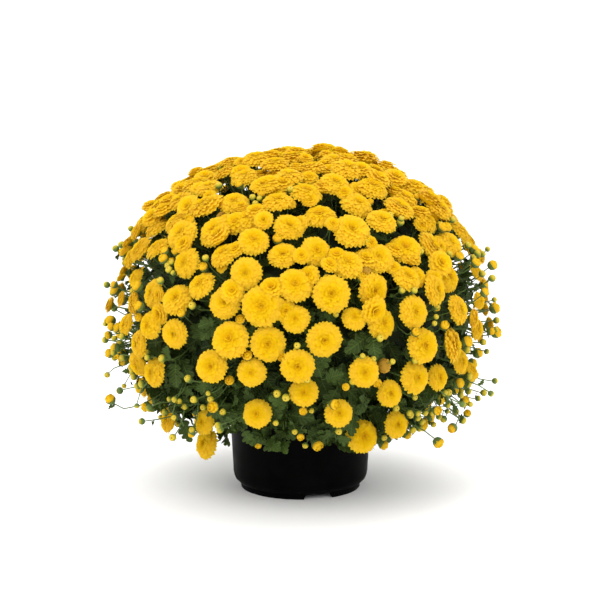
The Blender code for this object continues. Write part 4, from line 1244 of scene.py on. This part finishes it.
class ChrysanthemumSprays(bpy.types.Operator):
    """Builds every spray of blooms, each bloom with its rows of ray florets and its calyx"""

    bl_idname = "chrysanthemum.sprays"
    bl_label = "Sprays of blooms"

    def execute(self, context):
        choices = context.scene.chrysanthemum_flowers
        plan = plant_plan(choices)
        draw = np.random.default_rng(SPRAY_SEED)
        heads = [bloom_head(FLORET_ROWS, PACKED_BLOOM, draw, spread) for spread in BLOOM_SPREADS]
        small = [bloom_head(YOUNG_ROWS, PACKED_BLOOM, draw, spread) for spread in YOUNG_SPREADS]
        cup = revolved(CALYX_PROFILE, CALYX_SIDES)
        materials = [ray_floret(choices), green_stem(context.scene.chrysanthemum_foliage)]
        shapes = [[] for _ in plan["names"]]
        for variants, layout in ((heads, plan["blooms"]), (small, plan["young"])):
            for middle, radius, facing, turn in zip(*layout):
                near = np.linalg.norm(plan["blooms"][0] - middle, axis=1).argmin()
                spray = shapes[plan["sprays"][near]]
                axes = turned_axes(facing, turn)
                head = variants[draw.integers(len(variants))]
                size = (radius * draw.uniform(*BLOOM_SIZES)
                        * np.interp(aside(middle), *SIZE_BY_SIDE))
                spray.append(placed(head, middle, axes, size, draw.random()))
                spray.append(placed(cup, middle, axes, radius, draw.random(), 1.0))
        for name, spray in zip(plan["names"], shapes):
            kinds = [0, 1] * (len(spray) // 2)
            add_piece(name.replace("bloom_spray", "spray"), spray, materials, kinds,
                      [name])
        return {"FINISHED"}


class ChrysanthemumBuds(bpy.types.Operator):
    """Builds the closed and opening buds, and the few florets that have withered"""

    bl_idname = "chrysanthemum.buds"
    bl_label = "Buds"

    def execute(self, context):
        choices = context.scene.chrysanthemum_flowers
        plan = plant_plan(choices)
        draw = np.random.default_rng(BUD_SHAPE_SEED)
        closed = revolved(BUD_PROFILE, BUD_SIDES, BUD_WAVE, BUD_RIBS)
        cup = revolved(BUD_CUP, CUP_SIDES)
        opening = [bloom_head(OPENING_ROWS, PACKED_BUD, draw, spread)
                   for spread in BUD_SPREADS]
        shapes, kinds = [], []
        for middle, radius, facing, kind in zip(*plan["buds"]):
            axes = turned_axes(facing, draw.uniform(0, math.tau))
            head = opening[draw.integers(len(opening))] if kind else closed
            shapes.append(placed(head, middle, axes, radius, draw.random()))
            shapes.append(placed(cup, middle, axes, radius * CUP_SIZES[kind], draw.random(), 1.0))
            kinds += [kind, 2]
        materials = [closed_bud(), ray_floret(choices),
                     green_stem(context.scene.chrysanthemum_foliage)]
        add_piece("buds", shapes, materials, kinds)
        withered = bloom_head(YOUNG_ROWS[1:], PACKED_BUD, draw, SPENT_SPREAD)
        spent = []
        for place in SPENT:
            middle = dome_point(*place)
            out = outward(middle)
            axes = turned_axes(unit(out + draw.normal(0, SPENT_TILT, 3)),
                               draw.uniform(0, math.tau))
            spent.append(placed(withered, middle - SPENT_INSET * out, axes, SPENT_RADIUS,
                                draw.random()))
        add_piece("spent_florets", spent, [spent_floret(choices)])
        return {"FINISHED"}


class ChrysanthemumFoliage(bpy.types.Operator):
    """Builds the stems, the leaves and the shaded growth inside the bush"""

    bl_idname = "chrysanthemum.foliage"
    bl_label = "Stems and leaves"

    def execute(self, context):
        choices = context.scene.chrysanthemum_foliage
        plan = plant_plan(context.scene.chrysanthemum_flowers)
        draw = np.random.default_rng(FOLIAGE_SEED)
        flowers, young, buds = plan["paths"], plan["young_stems"], plan["bud_stems"]
        shoots = shoot_paths(choices.shoots, plan["forks"])
        stems = [stem(path, ends, draw.random())
                 for paths, ends in ((flowers, FLOWER_STEM), (young + buds, SIDE_STEM),
                                     (shoots, SHOOT_STEM))
                 for path in paths]
        stems += [stem(path, MAIN_STEM, draw.random(), MAIN_STEM_SIDES)
                  for path in main_stems(plan["forks"])]
        add_piece("stems", stems, [green_stem(choices)], None, ["bush"])
        blade = leaf_blade(choices)
        shapes = [leaf_shape(*kind, draw) for kind in LEAF_KINDS]
        long = choices.leaf_length
        for name, growths in (
                ("flower_stem_leaves", ((flowers, FLOWER_LEAVES), (young, YOUNG_LEAVES),
                                        (buds, BUD_LEAVES))),
                ("shoot_leaves", ((shoots, SHOOT_LEAVES),))):
            leaves = []
            for paths, growth in growths:
                leaves += leaves_along(paths, shapes, growth, long, draw)
            add_piece(name, in_the_clear(leaves, plan["crowd"]), [blade], None,
                      ["bush"])
        inner = [self.dark_core(draw), *self.inner_leaves(shapes, long, draw)]
        add_piece("inner_growth", inner, [blade], None, ["bush"])
        return {"FINISHED"}

    def dark_core(self, draw):
        """A lumpy mass deep inside the bush, flat underneath, painted dark as shade."""
        out, _, up = GROWTH_SHARE * CORE_SIZE
        lowest = math.acos((GROWTH_LOWEST - CANOPY_CENTRE[2]) / CORE_SIZE[2] / GROWTH_SHARE)
        tilt = np.linspace(GROWTH_TOP, lowest, GROWTH_ROWS)
        profile = np.stack([out * np.sin(tilt), CANOPY_CENTRE[2] + up * np.cos(tilt)], axis=1)
        points, faces, marks, parts = revolved([*profile, *GROWTH_FLOOR], GROWTH_SIDES)
        lumps = GROWTH_LUMPS * draw.normal(0, 1, len(points)).clip(*LUMP_ENDS)
        above = points[:, 2:] > GROWTH_FLOOR_TOP
        points = points + outward(points, CORE_SIZE) * lumps[:, None] * above
        # Depth and chance 0 give it the darkest colour of the leaf material: painted shade
        marks[:, 2:] = 0
        return points, faces, marks, parts

    def inner_leaves(self, shapes, long, draw):
        """Shaded leaves that lie over each other on the core."""
        for base in spiral_points(INNER_LEAVES, INNER_SHARE * CORE_SIZE, INNER_LOWEST):
            out = outward(base)
            way = unit(np.cross(out, draw.normal(0, 1, 3)) + INNER_LEAN * out
                       - [0, 0, INNER_HANG])
            face = unit(out - (out @ way) * way)
            shape = shapes[draw.integers(len(shapes))]
            length = long * draw.uniform(*INNER_LENGTHS)
            leaf = placed(shape, base, (np.cross(way, face), way, face), length, draw.random(),
                          INNER_DEPTH)
            if clear_of_pot(leaf):
                yield leaf


def pot_profile():
    """The pot's section with rounded corners, from under its floor round to its floor inside."""
    ledge = FOOT_RADIUS + LEDGE_WIDTH
    hollow = FOOT_RADIUS - FOOT_WALL
    under = FOOT_HEIGHT + FLOOR_THICKNESS / 2
    floor = under + FLOOR_THICKNESS
    wall_top = RIM_RADIUS - RIM_OVERHANG
    rim_foot = POT_HEIGHT - RIM_DEPTH
    mouth = wall_top - POT_WALL
    foot = [
        *((ring, under) for ring in FLOOR_RINGS), (hollow - EDGE, under), (hollow, under - EDGE),
        (hollow, EDGE), (hollow + EDGE, 0), (FOOT_RADIUS - EDGE, 0), (FOOT_RADIUS, EDGE),
        (FOOT_RADIUS, FOOT_HEIGHT - EDGE), (FOOT_RADIUS + EDGE, FOOT_HEIGHT),
        (ledge - 2 * EDGE, FOOT_HEIGHT), (ledge, FOOT_HEIGHT + EDGE),
    ]
    rim = [
        (wall_top, rim_foot - EDGE), (wall_top + EDGE, rim_foot), (RIM_RADIUS - EDGE, rim_foot),
        (RIM_RADIUS, rim_foot + EDGE),
        *((RIM_RADIUS - back, POT_HEIGHT - down) for back, down in RIM_ROUNDING),
        (mouth + EDGE, POT_HEIGHT), (mouth, POT_HEIGHT - EDGE),
    ]
    inside = [
        (SHOULDER_RADIUS - POT_WALL, SHOULDER_HEIGHT), (ledge, floor + FLOOR_FILLET),
        (ledge - FLOOR_FILLET, floor), *((ring, floor) for ring in reversed(FLOOR_RINGS[1:])),
        (0, floor),
    ]
    return [*foot, *SHOULDER_CURVE, *WALL_CURVE, *rim, *inside]


class ChrysanthemumPot(bpy.types.Operator):
    """Builds the nursery pot with its rim, foot, notches and drain holes, and its soil"""

    bl_idname = "chrysanthemum.pot"
    bl_label = "Pot and soil"

    def execute(self, context):
        choices = context.scene.chrysanthemum_pot
        points, faces, marks, parts = revolved(pot_profile(), POT_SIDES)
        angles = math.tau * np.arange(POT_SIDES) / POT_SIDES
        spacing = math.tau / NOTCH_COUNT
        off = np.degrees(abs((angles + spacing / 2) % spacing - spacing / 2))
        lift = NOTCH_HEIGHT * np.clip((NOTCH_SPREAD * NOTCH_HALF_WIDTH - off)
                                      / (NOTCH_SPREAD - 1) / NOTCH_HALF_WIDTH, 0, 1)
        lift = np.tile(lift, len(points) // POT_SIDES)
        foot = points[:, 2] < NOTCH_HEIGHT
        points[foot, 2] = np.maximum(points[foot, 2], lift[foot])
        points = turned(points, math.radians(NOTCH_FIRST - 90))
        pot = add_piece("nursery_pot", [(points, faces, marks, parts)],
                        [moulded_plastic(choices)], None, ["pot"])
        pot.data.set_sharp_from_angle(angle=math.radians(SHARP_ANGLE))
        self.cut_drains(pot)
        soil = potting_soil(choices)
        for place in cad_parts["soil"].material_slots:
            place.material = soil
        return {"FINISHED"}

    def cut_drains(self, pot):
        """Cuts the round holes in the pot's floor."""
        cutters = []
        for turn in math.tau * np.arange(DRAIN_COUNT) / DRAIN_COUNT:
            bpy.ops.mesh.primitive_cylinder_add(
                vertices=DRAIN_SIDES, radius=DRAIN_RADIUS, depth=DRAIN_CUT,
                location=(DRAIN_CIRCLE * math.cos(turn), DRAIN_CIRCLE * math.sin(turn),
                          DRAIN_CUT / 2))
            cutters.append(bpy.context.object)
        for number, cutter in enumerate(cutters):
            cut = pot.modifiers.new(f"drain_{number}", "BOOLEAN")
            cut.object = cutter
            cut.operation = "DIFFERENCE"
        bpy.context.view_layer.update()
        finished = pot.evaluated_get(bpy.context.evaluated_depsgraph_get())
        mesh = bpy.data.meshes.new_from_object(finished)
        pot.modifiers.clear()
        pot.data = mesh
        for cutter in cutters:
            bpy.data.objects.remove(cutter, do_unlink=True)


class ChrysanthemumStage(bpy.types.Operator):
    """Sets up the plain floor, the soft studio light and the camera"""

    bl_idname = "chrysanthemum.stage"
    bl_label = "Stage"

    def execute(self, context):
        scene, choices = context.scene, context.scene.chrysanthemum_stage
        scene.view_settings.view_transform = "Standard"
        bpy.ops.mesh.primitive_circle_add(vertices=FLOOR_SIDES, radius=FLOOR_RADIUS,
                                          fill_type="NGON")
        floor = context.object
        floor.name = "floor"
        floor.data.materials.append(matt_floor(choices))
        world = bpy.data.worlds.new("even_daylight")
        world.use_nodes = True
        sky = world.node_tree.nodes["Background"]
        sky.inputs["Color"].default_value = (1, 1, 1, 1)
        sky.inputs["Strength"].default_value = choices.daylight
        scene.world = world
        for name, place, size, share in LIGHTS:
            self.add_light(name, place, size, choices.key_power * share)
        self.add_camera(scene, choices)
        return {"FINISHED"}

    def add_light(self, name, place, size, power):
        """A soft square light that shines on the middle of the plant."""
        lamp = bpy.data.lights.new(name, "AREA")
        lamp.size = size
        lamp.energy = power
        light = bpy.data.objects.new(name, lamp)
        light.location = place
        aim = np.array(LIT_PLACE) - place
        light.rotation_mode = "QUATERNION"
        light.rotation_quaternion = Vector(aim).to_track_quat("-Z", "Y")
        bpy.context.scene.collection.objects.link(light)

    def add_camera(self, scene, choices):
        """The camera of the photograph, which looks down a little on the plant."""
        data = bpy.data.cameras.new("camera")
        data.lens = choices.lens
        data.sensor_width = SENSOR_WIDTH
        data.shift_x, data.shift_y = CAMERA_SHIFT
        camera = bpy.data.objects.new("camera", data)
        down = choices.depression
        camera.location = (0, -choices.distance * math.cos(down),
                           CAMERA_AIM_HEIGHT + choices.distance * math.sin(down))
        camera.rotation_euler = (math.pi / 2 - down, 0, 0)
        scene.collection.objects.link(camera)
        scene.camera = camera


class ChrysanthemumPanel(bpy.types.Panel):
    """Lists what the plant is made of, with its sizes and colours"""

    bl_label = "Pot chrysanthemum"
    bl_idname = "VIEW3D_PT_chrysanthemum"
    bl_space_type = "VIEW_3D"
    bl_region_type = "UI"
    bl_category = "Chrysanthemum"

    def draw(self, context):
        for step, choices in STEPS:
            box = self.layout.box()
            box.operator(step.bl_idname)
            group = getattr(context.scene, choices)
            for name in group.__annotations__:
                box.prop(group, name)


STEPS = (
    (ChrysanthemumPot, "chrysanthemum_pot"),
    (ChrysanthemumSprays, "chrysanthemum_flowers"),
    (ChrysanthemumBuds, "chrysanthemum_flowers"),
    (ChrysanthemumFoliage, "chrysanthemum_foliage"),
    (ChrysanthemumStage, "chrysanthemum_stage"),
)
CHOICES = {
    "chrysanthemum_flowers": FlowerChoices,
    "chrysanthemum_foliage": FoliageChoices,
    "chrysanthemum_pot": PotChoices,
    "chrysanthemum_stage": StageChoices,
}


def register():
    for name, group in CHOICES.items():
        bpy.utils.register_class(group)
        setattr(bpy.types.Scene, name, bpy.props.PointerProperty(type=group))
    for step, _ in STEPS:
        bpy.utils.register_class(step)
    bpy.utils.register_class(ChrysanthemumPanel)


def unregister():
    bpy.utils.unregister_class(ChrysanthemumPanel)
    for step, _ in reversed(STEPS):
        bpy.utils.unregister_class(step)
    for name, group in CHOICES.items():
        delattr(bpy.types.Scene, name)
        bpy.utils.unregister_class(group)


def main():
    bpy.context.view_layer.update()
    register()
    bpy.ops.chrysanthemum.pot()
    bpy.ops.chrysanthemum.sprays()
    bpy.ops.chrysanthemum.buds()
    bpy.ops.chrysanthemum.foliage()
    bpy.ops.chrysanthemum.stage()


if __name__ == "__main__":
    main()
